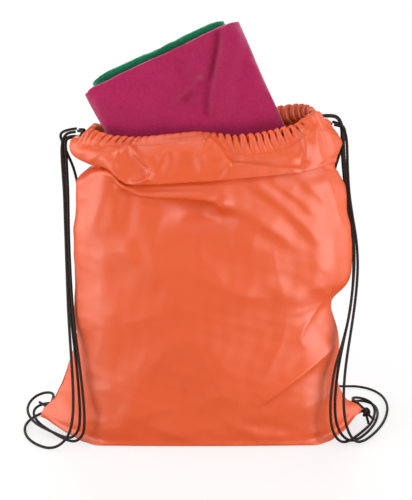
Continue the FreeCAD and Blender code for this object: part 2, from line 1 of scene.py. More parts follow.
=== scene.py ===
"""Full drawstring bag with two folded fleece cloths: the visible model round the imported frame.

Metres, +Z up, front towards -Y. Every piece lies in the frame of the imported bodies.
"""

import logging
import math
from dataclasses import dataclass, field, replace
from enum import Enum

import bpy
import numpy as np
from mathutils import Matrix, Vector


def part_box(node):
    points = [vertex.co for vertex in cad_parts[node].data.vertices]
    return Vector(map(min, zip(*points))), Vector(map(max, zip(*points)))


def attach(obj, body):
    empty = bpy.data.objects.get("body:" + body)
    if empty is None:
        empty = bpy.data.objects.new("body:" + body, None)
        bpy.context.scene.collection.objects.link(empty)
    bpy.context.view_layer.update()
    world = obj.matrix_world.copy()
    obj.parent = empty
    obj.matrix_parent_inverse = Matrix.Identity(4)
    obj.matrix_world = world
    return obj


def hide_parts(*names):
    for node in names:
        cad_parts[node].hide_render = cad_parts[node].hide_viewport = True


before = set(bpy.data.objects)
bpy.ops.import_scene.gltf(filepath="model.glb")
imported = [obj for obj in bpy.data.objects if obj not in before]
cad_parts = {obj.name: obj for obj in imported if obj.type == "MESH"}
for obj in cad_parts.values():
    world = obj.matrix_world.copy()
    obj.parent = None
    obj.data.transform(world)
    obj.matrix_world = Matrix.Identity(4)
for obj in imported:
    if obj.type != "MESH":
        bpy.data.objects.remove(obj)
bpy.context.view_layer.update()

log = logging.getLogger("drawstring_bag")
MM = 0.001


# ---------------------------------------------------------------- shared helpers
def mesh_object(
    name: str, points: np.ndarray, faces: list, corners: np.ndarray | None = None
) -> bpy.types.Object:
    """Makes a smooth mesh object from points in metres.

    Args:
        name: name of the piece.
        points: vertex positions, one row each.
        faces: vertex numbers of each face.
        corners: two cut coordinates for each corner of each face, in the faces' order.

    Returns:
        The new object, linked to the scene.
    """
    mesh = bpy.data.meshes.new(name)
    mesh.from_pydata(np.asarray(points).tolist(), [], faces)
    if corners is not None:
        layer = mesh.uv_layers.new(name="cut")
        layer.data.foreach_set("uv", np.asarray(corners, dtype=np.float32).ravel())
    mesh.polygons.foreach_set("use_smooth", [True] * len(mesh.polygons))
    piece = bpy.data.objects.new(name, mesh)
    bpy.context.scene.collection.objects.link(piece)
    return piece


def grid_corners(u: np.ndarray, v: np.ndarray) -> np.ndarray:
    """Cut coordinates for each face corner of a grid.

    Args:
        u: first coordinate of each point; a closed grid repeats its first column at the end.
        v: second coordinate, in the same layout.

    Returns:
        One row of two values for each corner, in the order of grid_faces.
    """
    both = np.stack([u, v], axis=-1)
    quads = np.stack([both[:-1, :-1], both[:-1, 1:], both[1:, 1:], both[1:, :-1]], axis=2)
    return quads.reshape(-1, 2)


def face_outwards(piece: bpy.types.Object) -> None:
    """Turns every face of a closed piece to point outwards.

    Args:
        piece: the piece, which is selected alone for this.
    """
    bpy.ops.object.select_all(action="DESELECT")
    piece.select_set(True)
    bpy.context.view_layer.objects.active = piece
    bpy.ops.object.mode_set(mode="EDIT")
    bpy.ops.mesh.select_all(action="SELECT")
    bpy.ops.mesh.normals_make_consistent(inside=False)
    bpy.ops.object.mode_set(mode="OBJECT")


def run_along(line: np.ndarray) -> np.ndarray:
    """Distance from a line's first point to each of its points."""
    return np.concatenate([[0.0], np.cumsum(np.linalg.norm(np.diff(line, axis=0), axis=1))])


def grid_faces(rows: int, columns: int, closed: bool) -> list:
    """Faces of a grid of vertices.

    Args:
        rows: how many rows of vertices there are.
        columns: vertices in each row.
        closed: whether each row is a ring.

    Returns:
        Four vertex numbers for each face.
    """
    last = columns if closed else columns - 1
    faces = []
    for low in range(0, (rows - 1) * columns, columns):
        high = low + columns
        for left in range(last):
            right = (left + 1) % columns
            faces.append((low + left, low + right, high + right, high + left))
    return faces


def along(table: list, x: np.ndarray) -> np.ndarray:
    """Reads a table of (place, value) pairs at the places x, with straight lines between."""
    places, values = zip(*table)
    return np.interp(x, places, values)


def smooth_step(low: float, high: float, x: np.ndarray) -> np.ndarray:
    """Rises smoothly from 0 at low to 1 at high."""
    t = np.clip((x - low) / (high - low), 0.0, 1.0)
    return t * t * (3.0 - 2.0 * t)


def catmull_rows(rings: np.ndarray, steps: list) -> np.ndarray:
    """Fills in rows between control rings, on a smooth curve through them.

    Args:
        rings: control rings, one array of points each.
        steps: number of rows from each ring to the next.

    Returns:
        All rows, the control rings among them.
    """
    padded = np.concatenate([2 * rings[:1] - rings[1:2], rings, 2 * rings[-1:] - rings[-2:-1]])
    rows = []
    for k, count in enumerate(steps):
        p0, p1, p2, p3 = padded[k : k + 4]
        gap = np.maximum(np.linalg.norm(p2 - p1, axis=1, keepdims=True), 1e-9)
        before = np.maximum(np.linalg.norm(p1 - p0, axis=1, keepdims=True), 1e-9)
        after = np.maximum(np.linalg.norm(p3 - p2, axis=1, keepdims=True), 1e-9)
        m1 = gap * ((p1 - p0) / before * gap + (p2 - p1) / gap * before) / (before + gap)
        m2 = gap * ((p2 - p1) / gap * after + (p3 - p2) / after * gap) / (after + gap)
        for step in range(count):
            t = step / count
            t2, t3 = t * t, t * t * t
            at_start = (2 * t3 - 3 * t2 + 1) * p1 + (t3 - 2 * t2 + t) * m1
            rows.append(at_start + (3 * t2 - 2 * t3) * p2 + (t3 - t2) * m2)
    rows.append(rings[-1])
    return np.array(rows)


def grid_normals(grid: np.ndarray, closed: bool) -> np.ndarray:
    """Unit normals of a grid of points, as the cross product of row and column directions.

    Args:
        grid: points, by row and column.
        closed: whether each row is a ring.

    Returns:
        One unit vector for each point.
    """
    across = (
        np.roll(grid, -1, axis=1) - np.roll(grid, 1, axis=1) if closed else np.gradient(grid, axis=1)
    )
    up = np.gradient(grid, axis=0)
    normal = np.cross(across, up)
    length = np.linalg.norm(normal, axis=2, keepdims=True)
    return normal / np.maximum(length, 1e-12)


def distance_to_line(points: np.ndarray, line: list) -> tuple[np.ndarray, np.ndarray, np.ndarray]:
    """Nearest distance from flat points to a line of straight pieces.

    Args:
        points: array whose last axis holds two coordinates.
        line: corners of the line.

    Returns:
        The distance, the signed side (positive to the left), and the share along the line.
    """
    best = np.full(points.shape[:-1], 1e9)
    side = np.zeros(points.shape[:-1])
    share = np.zeros(points.shape[:-1])
    corners = np.array(line, dtype=float)
    lengths = np.linalg.norm(np.diff(corners, axis=0), axis=1)
    total = lengths.sum()
    done = 0.0
    for start, end, length in zip(corners, corners[1:], lengths):
        run = (end - start) / length
        offset = points - start
        t = np.clip(offset @ run, 0.0, length)
        gap = points - (start + t[..., None] * run)
        reach = np.linalg.norm(gap, axis=-1)
        cross = run[0] * offset[..., 1] - run[1] * offset[..., 0]
        nearer = reach < best
        best = np.where(nearer, reach, best)
        side = np.where(nearer, np.sign(cross), side)
        share = np.where(nearer, (done + t) / total, share)
        done += length
    return best, side, share


# ---------------------------------------------------------------- camera, lights and floor
@dataclass
class Studio:
    """The camera, the soft lights, the floor and the pale background."""

    eye: tuple = (0.006, -1.25595, 0.47361)
    pitch: float = 78.0  # degrees up from straight down
    lens: float = 85.0  # focal length in millimetres
    ambient: float = 0.10  # strength of the even light

    def build(self) -> None:
        """Makes the whole studio."""
        self.camera()
        self.lights()
        self.world()
        self.floor()
        bpy.context.scene.view_settings.view_transform = "Standard"

    def camera(self) -> None:
        """Sets up the camera in front of the bag, a little above it."""
        data = bpy.data.cameras.new("camera")
        data.lens = self.lens
        data.sensor_width = 36.0
        camera = bpy.data.objects.new("camera", data)
        camera.location = self.eye
        camera.rotation_euler = (math.radians(self.pitch), 0.0, 0.0)
        bpy.context.scene.collection.objects.link(camera)
        bpy.context.scene.camera = camera

    def lights(self) -> None:
        """Adds tall soft boxes at the left and right, and softer lamps above and behind."""
        for name, place, aim, power, sides in (
            ("left_lamp", (-1.10, -0.78, 0.40), (-0.06, 0.0, 0.22), 12.5, (0.9, 1.1)),
            ("low_right_lamp", (0.75, -0.6, 0.05), (0.12, -0.03, 0.06), 4.4, (0.9, 0.15)),
            ("low_left_lamp", (-0.75, -0.6, 0.05), (-0.12, -0.03, 0.06), 1.9, (0.9, 0.15)),
            ("left_side_lamp", (-1.2, 0.15, 0.45), (-0.06, 0.0, 0.25), 9.0, (0.9, 1.1)),
            ("right_lamp", (1.10, -0.78, 0.40), (0.06, 0.0, 0.22), 12.5, (0.9, 1.1)),
            ("right_side_lamp", (1.2, 0.15, 0.45), (0.06, 0.0, 0.22), 3.5, (0.9, 1.1)),
            ("top_lamp", (-0.1, -0.15, 1.5), (0.0, 0.0, 0.2), 4.5, (0.6, 0.4)),
            ("high_lamp", (-0.1, -0.95, 1.3), (0.0, 0.0, 0.2), 2.6, (0.6, 0.4)),
            ("back_lamp", (0.0, 1.6, 1.2), (0.0, 0.0, 0.3), 24.0, (1.2, 1.2)),
        ):
            data = bpy.data.lights.new(name, "AREA")
            data.energy = power
            data.shape = "RECTANGLE"
            data.size, data.size_y = sides
            lamp = bpy.data.objects.new(name, data)
            lamp.location = place
            lamp.rotation_euler = (Vector(aim) - Vector(place)).to_track_quat("-Z", "Y").to_euler()
            bpy.context.scene.collection.objects.link(lamp)

    def world(self) -> None:
        """Gives an even ambient light, and white to the camera."""
        world = bpy.data.worlds.new("studio")
        bpy.context.scene.world = world
        world.use_nodes = True
        tree = world.node_tree
        tree.nodes.clear()
        white = (1.0, 1.0, 1.0, 1.0)
        soft = add_node(tree, "Background", in_Color=white, in_Strength=self.ambient)
        plain = add_node(tree, "Background", in_Color=white, in_Strength=1.0)
        seen = add_node(tree, "LightPath").outputs["Is Camera Ray"]
        mix = add_node(
            tree, "MixShader", in_Fac=seen, in_1=soft.outputs["Background"], in_2=plain.outputs["Background"]
        )
        add_node(tree, "OutputWorld", in_Surface=mix.outputs["Shader"])

    def floor(self) -> None:
        """Lays a wide pale floor that keeps a soft shadow."""
        bpy.ops.mesh.primitive_plane_add(size=60.0, location=(0.0, 0.0, 0.0))
        floor = bpy.context.object
        floor.name = "floor"
        material = bpy.data.materials.new("floor")
        material.use_nodes = True
        tree = material.node_tree
        tree.nodes.clear()
        seen = add_node(tree, "LightPath").outputs["Is Camera Ray"]
        grey, pale = (0.34, 0.34, 0.34, 1.0), (0.86, 0.86, 0.86, 1.0)
        matt = add_node(tree, "BsdfDiffuse", in_Color=blend_colours(tree, seen, grey, pale))
        glow = add_node(tree, "Emission", in_Color=(1.0, 1.0, 1.0, 1.0), in_Strength=1.02)
        spot = add_node(tree, "TexCoord").outputs["Object"]
        reach = add_node(tree, "VectorMath", operation="LENGTH", in_0=spot).outputs["Value"]
        far = add_node(
            tree, "MapRange", in_Value=reach, in_From_Min=0.25, in_From_Max=0.9, in_To_Min=0.70, in_To_Max=1.0
        )
        share = maths(tree, "MULTIPLY", seen, far.outputs["Result"])
        mix = add_node(
            tree, "MixShader", in_Fac=share, in_1=matt.outputs["BSDF"], in_2=glow.outputs["Emission"]
        )
        add_node(tree, "OutputMaterial", in_Surface=mix.outputs["Shader"])
        floor.data.materials.append(material)


# ---------------------------------------------------------------- materials
def new_material(name: str) -> tuple[bpy.types.Material, bpy.types.Node]:
    """Makes a node material.

    Args:
        name: name of the material.

    Returns:
        The material and its Principled shader.
    """
    material = bpy.data.materials.new(name)
    material.use_nodes = True
    shader = material.node_tree.nodes["Principled BSDF"]
    return material, shader


class NodeGroup:
    """A shader node group under construction."""

    def __init__(self, name: str, inputs: dict, outputs: tuple) -> None:
        """Starts a group with named number sockets.

        Args:
            name: name of the group.
            inputs: socket name to default value.
            outputs: socket names.
        """
        self.tree = bpy.data.node_groups.new(name, "ShaderNodeTree")
        for label, value in inputs.items():
            socket = self.tree.interface.new_socket(name=label, in_out="INPUT", socket_type="NodeSocketFloat")
            socket.default_value = value
        for label in outputs:
            self.tree.interface.new_socket(name=label, in_out="OUTPUT", socket_type="NodeSocketFloat")
        self.source = self.tree.nodes.new("NodeGroupInput")
        self.sink = self.tree.nodes.new("NodeGroupOutput")

    def add(self, kind: str, **settings: object) -> bpy.types.Node:
        """Adds a node, as add_node does."""
        return add_node(self.tree, kind, **settings)

    def put_out(self, label: str, output: bpy.types.NodeSocket) -> None:
        """Gives a value to one of the group's outputs."""
        self.tree.links.new(output, self.sink.inputs[label])


def set_inputs(node: bpy.types.Node, **values: object) -> None:
    """Sets some inputs of a node.

    Args:
        node: the node, in its tree.
        values: inputs by name, with _ for a space, or by number: a plain value, or the output that
            feeds it.
    """
    for key, value in values.items():
        socket = node.inputs[int(key) if key.isdigit() else key.replace("_", " ")]
        if isinstance(value, bpy.types.NodeSocket):
            node.id_data.links.new(value, socket)
        else:
            socket.default_value = value


def add_node(tree: bpy.types.NodeTree, kind: str, **settings: object) -> bpy.types.Node:
    """Adds a node to a tree.

    Args:
        tree: the tree that gets it.
        kind: the node's type, without the ShaderNode prefix.
        settings: properties by name, and inputs as in_NAME or in_NUMBER, with set_inputs' values.

    Returns:
        The new node.
    """
    node = tree.nodes.new("ShaderNode" + kind)
    for key in [key for key in settings if not key.startswith("in_")]:
        setattr(node, key, settings.pop(key))
    set_inputs(node, **{key[3:]: value for key, value in settings.items()})
    return node


def maths(
    tree: bpy.types.NodeTree, operation: str, *values: object, clamp: bool = False
) -> bpy.types.NodeSocket:
    """Adds a Math node.

    Args:
        tree: the tree that gets it.
        operation: what the node does.
        values: its inputs in order, each a number or an output.
        clamp: whether the result is kept between 0 and 1.

    Returns:
        The node's result.
    """
    inputs = {f"in_{number}": value for number, value in enumerate(values)}
    return add_node(tree, "Math", operation=operation, use_clamp=clamp, **inputs).outputs["Value"]


def blend_colours(
    tree: bpy.types.NodeTree, share: bpy.types.NodeSocket, deep: tuple, light: tuple
) -> bpy.types.NodeSocket:
    """Blends from a deep to a light colour.

    Args:
        tree: the tree that gets the node.
        share: how much of the light colour there is.
        deep: the colour at 0.
        light: the colour at 1.

    Returns:
        The blended colour.
    """
    return add_node(tree, "Mix", data_type="RGBA", in_A=deep, in_B=light, in_Factor=share).outputs["Result"]


def weave_group() -> bpy.types.NodeTree:
    """Plain weave along a piece's own cut: a height, and a mask of raised threads for a painted highlight.

    Returns:
        The group's tree, with inputs Pitch (metres) and Slub.
    """
    group = NodeGroup("plain_weave", {"Pitch": 0.0005, "Slub": 0.5}, ("Height", "Thread"))
    tree, pitch, slub = group.tree, group.source.outputs["Pitch"], group.source.outputs["Slub"]
    uv = group.add("UVMap", uv_map="cut").outputs["UV"]
    split = group.add("SeparateXYZ", in_Vector=uv)
    turns, slubs = [], []
    for axis in ("X", "Y"):
        threads = maths(tree, "DIVIDE", split.outputs[axis], pitch)
        turns.append(maths(tree, "SINE", maths(tree, "MULTIPLY", threads, math.pi)))
    for stretch in ((260.0, 9000.0, 1.0), (9000.0, 260.0, 1.0)):
        place = group.add("VectorMath", operation="MULTIPLY", in_0=uv, in_1=stretch).outputs["Vector"]
        noise = group.add("TexNoise", in_Vector=place, in_Scale=0.14, in_Detail=2.0, in_Roughness=0.6)
        slubs.append(noise.outputs["Fac"])
    check = maths(tree, "MULTIPLY", *turns)
    uneven = maths(tree, "MULTIPLY", maths(tree, "SUBTRACT", maths(tree, "ADD", *slubs), 1.0), slub)
    height = maths(tree, "ADD", check, uneven)
    thread = group.add("MapRange", in_Value=height, in_From_Min=-1.0, in_From_Max=1.0)
    group.put_out("Height", height)
    group.put_out("Thread", thread.outputs["Result"])
    return tree


def blotch_group() -> bpy.types.NodeTree:
    """Slow change over the surface, on the piece's own position.

    Returns:
        The group's tree, with inputs Scale and Contrast.
    """
    group = NodeGroup("slow_change", {"Scale": 12.0, "Contrast": 1.0}, ("Fac",))
    scale, contrast = group.source.outputs["Scale"], group.source.outputs["Contrast"]
    place = group.add("TexCoord").outputs["Object"]
    noise = group.add("TexNoise", in_Vector=place, in_Scale=scale, in_Detail=3.0, in_Roughness=0.55)
    centred = maths(group.tree, "SUBTRACT", noise.outputs["Fac"], 0.5)
    group.put_out("Fac", maths(group.tree, "MULTIPLY_ADD", centred, contrast, 0.5, clamp=True))
    return group.tree


@dataclass(frozen=True)
class BagClothFinish:
    """Plain woven nylon with a soft sheen."""

    deep: tuple = (0.64, 0.064, 0.005, 1.0)
    # The light colour is both random tone from the slow change and a painted highlight on raised threads.
    light: tuple = (0.68, 0.086, 0.010, 1.0)
    roughness: float = 0.47

    def material(self) -> bpy.types.Material:
        """Builds the bag cloth's material.

        Returns:
            The material.
        """
        material, shader = new_material("bag_cloth")
        tree = material.node_tree
        weave = add_node(tree, "Group", node_tree=weave_group(), in_Pitch=0.00055, in_Slub=1.1)
        slow = add_node(tree, "Group", node_tree=blotch_group(), in_Scale=9.0, in_Contrast=1.4)
        change = slow.outputs["Fac"]
        # Painted highlight: the raised threads of the weave take the lighter colour; the slow change is
        # random tone.
        threads = maths(tree, "MULTIPLY_ADD", weave.outputs["Thread"], 0.35, 0.15, clamp=True)
        both = maths(tree, "MULTIPLY_ADD", change, 0.45, threads, clamp=True)
        bump = add_node(tree, "Bump", in_Strength=0.16, in_Distance=0.0001, in_Height=weave.outputs["Height"])
        set_inputs(
            shader,
            Base_Color=blend_colours(tree, both, self.deep, self.light),
            Normal=bump.outputs["Normal"],
            Roughness=maths(tree, "MULTIPLY_ADD", change, 0.12, self.roughness - 0.06),
            Specular_IOR_Level=0.8,
            Sheen_Weight=0.02,
            Sheen_Roughness=0.4,
            Sheen_Tint=(1.0, 0.82, 0.75, 1.0),
        )
        return material


@dataclass(frozen=True)
class FleeceFinish:
    """Napped fleece of one colour."""

    name: str
    deep: tuple
    light: tuple
    tint: tuple

    def material(self) -> bpy.types.Material:
        """Builds the fleece's material.

        Returns:
            The material.
        """
        material, shader = new_material(self.name)
        tree = material.node_tree
        place = add_node(tree, "TexCoord").outputs["Object"]
        nap = add_node(tree, "TexNoise", in_Vector=place, in_Scale=1500.0, in_Detail=2.0, in_Roughness=0.6)
        clump = add_node(tree, "TexNoise", in_Vector=place, in_Scale=340.0, in_Detail=3.0, in_Roughness=0.6)
        height = maths(tree, "MULTIPLY_ADD", clump.outputs["Fac"], 0.6, nap.outputs["Fac"])
        level = add_node(tree, "MapRange", in_Value=height, in_From_Min=0.55, in_From_Max=1.05)
        bump = add_node(tree, "Bump", in_Strength=0.55, in_Distance=0.0008, in_Height=height)
        set_inputs(
            shader,
            Base_Color=blend_colours(tree, level.outputs["Result"], self.deep, self.light),
            Normal=bump.outputs["Normal"],
            Roughness=0.95,
            Specular_IOR_Level=0.12,
            Sheen_Weight=1.0,
            Sheen_Roughness=0.45,
            Sheen_Tint=self.tint,
        )
        return material


@dataclass(frozen=True)
class CordFinish:
    """Braided cord, near black, with a painted brown highlight on the crowns of its strands."""

    deep: tuple = (0.008, 0.005, 0.004, 1.0)
    # painted highlight: the colour of the plait's raised crowns
    light: tuple = (0.020, 0.0125, 0.0095, 1.0)
    plait: float = 0.0035

    def material(self) -> bpy.types.Material:
        """Builds the cord's material, whose plait follows the cord's own length.

        Returns:
            The material.
        """
        material, shader = new_material("cord")
        tree = material.node_tree
        uv = add_node(tree, "UVMap", uv_map="cut").outputs["UV"]
        split = add_node(tree, "SeparateXYZ", in_Vector=uv)
        waves = []
        for lean in (1.0, -1.0):
            run = maths(tree, "MULTIPLY", split.outputs["Y"], 2.0 * math.pi / self.plait)
            turn = maths(tree, "MULTIPLY_ADD", split.outputs["X"], lean * 8.0 * math.pi, run)
            waves.append(maths(tree, "SINE", turn))
        top = maths(tree, "MAXIMUM", *waves)
        # Painted highlight: the raised crowns of the plait take the lighter colour.
        level = add_node(tree, "MapRange", in_Value=top, in_From_Min=-0.4, in_From_Max=1.0)
        colour = blend_colours(tree, level.outputs["Result"], self.deep, self.light)
        bump = add_node(tree, "Bump", in_Strength=0.6, in_Distance=0.0003, in_Height=top)
        normal = bump.outputs["Normal"]
        set_inputs(shader, Base_Color=colour, Normal=normal, Roughness=0.6, Specular_IOR_Level=0.25)
        return material


@dataclass(frozen=True)
class ThreadFinish:
    """Sewing thread in the bag's colour."""

    colour: tuple = (0.55, 0.062, 0.020, 1.0)

    def material(self) -> bpy.types.Material:
        """Builds the thread's material with a fine twist.

        Returns:
            The material.
        """
        material, shader = new_material("stitching")
        tree = material.node_tree
        place = add_node(tree, "TexCoord").outputs["Object"]
        twist = add_node(tree, "TexWave", in_Vector=place, in_Scale=900.0, in_Distortion=0.5)
        light = tuple(min(1.0, part * 1.3) for part in self.colour)
        colour = blend_colours(tree, twist.outputs["Fac"], self.colour, light)
        set_inputs(shader, Base_Color=colour, Roughness=0.7)
        return material


class Body(Enum):
    """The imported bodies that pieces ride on."""

    BAG = "bag"
    PINK = "pink_cloth"
    GREEN = "green_cloth"
    LEFT_LOOP = "left_pull_loop"
    RIGHT_LOOP = "right_pull_loop"


def dress(
    piece: bpy.types.Object, material: bpy.types.Material, slot: str, body: Body, *nodes: str
) -> None:
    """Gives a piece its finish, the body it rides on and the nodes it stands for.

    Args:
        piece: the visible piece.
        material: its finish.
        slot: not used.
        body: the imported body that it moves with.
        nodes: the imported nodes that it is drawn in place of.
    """
    piece.data.materials.clear()
    piece.data.materials.append(material)
    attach(piece, body.value)
    if nodes:
        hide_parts(*nodes)
    log.info("%s: %d faces", piece.name, len(piece.data.polygons))


# ---------------------------------------------------------------- cords
# Each route is the cord's own centreline in metres, from its exit out of the channel.
ROUTES = {
    "right_strap_front_strand": [
        (0.13302, -0.00282, 0.35205), (0.1405, -0.00286, 0.35249), (0.1466, -0.0036, 0.3496),
        (0.1497, -0.0044, 0.341), (0.1504, -0.005, 0.326), (0.1512, -0.005, 0.308),
        (0.1535, -0.0065, 0.286), (0.1563, -0.0085, 0.262), (0.1596, -0.011, 0.238),
        (0.1638, -0.0155, 0.213), (0.1647, -0.0205, 0.188), (0.1628, -0.0268, 0.163),
        (0.1588, -0.034, 0.138), (0.1518, -0.0424, 0.113), (0.1441, -0.048, 0.09), (0.1401, -0.0535, 0.067),
        (0.1386, -0.0575, 0.045), (0.1401, -0.059, 0.026), (0.146, -0.0565, 0.0115),
        (0.1546, -0.0485, 0.0034), (0.1652, -0.035, 0.0018), (0.1753, -0.019, 0.0018),
        (0.1849, -0.002, 0.0018), (0.193, 0.014, 0.0018), (0.1986, 0.028, 0.0046), (0.2015, 0.0405, 0.0094),
        (0.199, 0.052, 0.014), (0.1907, 0.0576, 0.0168), (0.1813, 0.0561, 0.019), (0.1754, 0.0486, 0.0206),
        (0.1764, 0.0366, 0.022), (0.1786, 0.025, 0.023), (0.1816, 0.0146, 0.023), (0.1847, 0.00615, 0.0216),
    ],
    "right_strap_back_strand": [
        (0.13299, 0.00151, 0.35279), (0.14048, 0.00148, 0.35323), (0.1472, 0.0019, 0.3504),
        (0.1512, 0.0014, 0.342), (0.1528, 0.0006, 0.328), (0.1538, 0.0, 0.309), (0.156, -0.0015, 0.287),
        (0.1592, -0.0035, 0.2625), (0.1629, -0.006, 0.238), (0.166, -0.009, 0.213), (0.1662, -0.013, 0.188),
        (0.164, -0.0185, 0.163), (0.16, -0.026, 0.138), (0.1538, -0.035, 0.1135), (0.1486, -0.0425, 0.0905),
        (0.1452, -0.0485, 0.068), (0.144, -0.0525, 0.0465), (0.1456, -0.054, 0.028),
        (0.1524, -0.0524, 0.013), (0.1626, -0.0456, 0.004), (0.1736, -0.0324, 0.0018),
        (0.1838, -0.016, 0.0018), (0.1934, 0.004, 0.0018), (0.201, 0.026, 0.0018), (0.206, 0.048, 0.0018),
        (0.2075, 0.069, 0.0018), (0.203, 0.086, 0.0018), (0.1925, 0.0945, 0.0018), (0.1805, 0.09, 0.0018),
        (0.173, 0.076, 0.0026), (0.1698, 0.058, 0.0065), (0.169, 0.041, 0.0145), (0.171, 0.027, 0.0235),
        (0.1755, 0.0145, 0.0295), (0.1819, 0.0039, 0.0247),
    ],
    "left_strap_front_strand": [
        (-0.13414, -0.00164, 0.32984), (-0.14163, -0.00161, 0.32945), (-0.1436, -0.0046, 0.3236),
        (-0.1426, -0.006, 0.312), (-0.142, -0.008, 0.2945), (-0.1412, -0.0103, 0.272),
        (-0.1412, -0.0128, 0.248), (-0.141, -0.0156, 0.223), (-0.1402, -0.019, 0.198),
        (-0.139, -0.0232, 0.173), (-0.1372, -0.0286, 0.148), (-0.1344, -0.0352, 0.123),
        (-0.1308, -0.0426, 0.0995), (-0.1276, -0.0494, 0.077), (-0.125, -0.055, 0.055),
        (-0.1238, -0.058, 0.0345), (-0.1252, -0.0575, 0.017), (-0.1335, -0.0515, 0.006),
        (-0.144, -0.0412, 0.003), (-0.1555, -0.0284, 0.0032), (-0.1666, -0.015, 0.0042),
        (-0.1774, -0.003, 0.006), (-0.186, 0.0085, 0.0088), (-0.1908, 0.021, 0.0116),
        (-0.1905, 0.0336, 0.0138), (-0.184, 0.0416, 0.0156), (-0.1744, 0.0426, 0.017),
        (-0.167, 0.036, 0.018), (-0.1672, 0.0268, 0.0182), (-0.172, 0.0192, 0.0178),
    ],
    "left_strap_back_strand": [
        (-0.13415, 0.00271, 0.3305), (-0.14164, 0.00274, 0.33011), (-0.146, 0.0002, 0.3256),
        (-0.1464, -0.0014, 0.316), (-0.145, -0.0034, 0.299), (-0.1436, -0.0058, 0.2755),
        (-0.1432, -0.0084, 0.2505), (-0.143, -0.0114, 0.225), (-0.1426, -0.0148, 0.1995),
        (-0.1418, -0.019, 0.174), (-0.1402, -0.0244, 0.149), (-0.1378, -0.031, 0.124),
        (-0.1344, -0.0386, 0.1005), (-0.1318, -0.0458, 0.0785), (-0.1298, -0.052, 0.0575),
        (-0.1288, -0.056, 0.0375), (-0.1304, -0.056, 0.0205), (-0.1386, -0.0502, 0.0096),
        (-0.1486, -0.04, 0.0066), (-0.1596, -0.0284, 0.0066), (-0.1712, -0.0172, 0.0074),
        (-0.183, -0.007, 0.0092), (-0.192, 0.0048, 0.0126), (-0.1974, 0.019, 0.0164),
        (-0.197, 0.0335, 0.0204), (-0.1915, 0.046, 0.024), (-0.181, 0.0505, 0.027),
        (-0.1714, 0.0445, 0.0286), (-0.168, 0.032, 0.0276), (-0.1709, 0.018, 0.0229),
    ],
    "right_pull_loop": [
        (0.14141, -0.00697, 0.34344), (0.1478, -0.0082, 0.343), (0.1524, -0.01, 0.3384),
        (0.1548, -0.0112, 0.3285), (0.1556, -0.012, 0.3135), (0.1566, -0.012, 0.295),
        (0.1584, -0.0132, 0.272), (0.1622, -0.0148, 0.248), (0.167, -0.017, 0.223), (0.169, -0.02, 0.198),
        (0.168, -0.0245, 0.173), (0.165, -0.031, 0.1485), (0.1608, -0.039, 0.124), (0.1566, -0.0465, 0.101),
        (0.1536, -0.0525, 0.078), (0.1526, -0.0575, 0.055), (0.1542, -0.0605, 0.034),
        (0.1598, -0.059, 0.0165), (0.1683, -0.0515, 0.005), (0.1788, -0.0385, 0.0018),
        (0.1894, -0.022, 0.0018), (0.1994, -0.0025, 0.0018), (0.2085, 0.02, 0.0018),
        (0.2155, 0.044, 0.0018), (0.2205, 0.069, 0.0018), (0.222, 0.094, 0.0018), (0.219, 0.118, 0.0018),
        (0.2095, 0.137, 0.0018), (0.195, 0.1475, 0.0018), (0.179, 0.145, 0.0026), (0.1655, 0.1335, 0.0065),
        (0.1555, 0.117, 0.014), (0.1483, 0.1, 0.0265), (0.1436, 0.086, 0.046), (0.1412, 0.0765, 0.071),
        (0.1413, 0.0715, 0.1), (0.1419, 0.0685, 0.132), (0.1432, 0.0665, 0.165), (0.1436, 0.0655, 0.198),
        (0.1445, 0.063, 0.23), (0.146, 0.0575, 0.26), (0.1485, 0.0485, 0.286), (0.1531, 0.0375, 0.307),
        (0.1565, 0.0255, 0.3235), (0.1564, 0.0155, 0.3355), (0.1506, 0.0092, 0.343),
        (0.14136, 0.00589, 0.34539),
    ],
    "left_pull_loop": [
        (-0.13221, -0.00575, 0.33589), (-0.1388, -0.0076, 0.3356), (-0.1434, -0.0092, 0.3326),
        (-0.1464, -0.0112, 0.325), (-0.1468, -0.0126, 0.313), (-0.1458, -0.015, 0.2945),
        (-0.1444, -0.0176, 0.272), (-0.144, -0.0204, 0.248), (-0.1434, -0.0234, 0.223),
        (-0.1428, -0.027, 0.198), (-0.142, -0.0314, 0.173), (-0.141, -0.037, 0.1485),
        (-0.1394, -0.0434, 0.1245), (-0.1376, -0.0496, 0.1015), (-0.136, -0.0552, 0.079),
        (-0.1352, -0.0598, 0.0565), (-0.136, -0.0628, 0.0355), (-0.1404, -0.0638, 0.0175),
        (-0.1505, -0.0636, 0.006), (-0.162, -0.0608, 0.0018), (-0.1736, -0.0534, 0.0018),
        (-0.1834, -0.0416, 0.0018), (-0.1914, -0.0264, 0.0018), (-0.1964, -0.009, 0.0018),
        (-0.1986, 0.0095, 0.0018), (-0.196, 0.028, 0.0018), (-0.189, 0.045, 0.0018),
        (-0.178, 0.0585, 0.0018), (-0.165, 0.0675, 0.0045), (-0.1532, 0.0718, 0.015),
        (-0.1445, 0.0724, 0.033), (-0.1384, 0.071, 0.056), (-0.1366, 0.069, 0.083),
        (-0.1361, 0.0674, 0.113), (-0.1357, 0.0666, 0.145), (-0.1354, 0.0662, 0.178),
        (-0.1352, 0.065, 0.21), (-0.1357, 0.062, 0.241), (-0.1375, 0.0554, 0.268), (-0.1407, 0.0456, 0.29),
        (-0.1463, 0.034, 0.308), (-0.1499, 0.0224, 0.3215), (-0.1517, 0.0134, 0.332),
        (-0.142, 0.0076, 0.337), (-0.13228, 0.00707, 0.33808),
    ],
}

DIAMETER = 0.003
PLAIT = 0.0036  # length of one turn of the plait
RELIEF = 0.05  # height of the plait, as a share of the cord's radius
CURVE_STEPS = 24  # points of a cord's curve from one control point to the next


class FarEnd(Enum):
    """What a cord's far end comes to."""

    KNOT = "knot"
    OBJECT = "object"


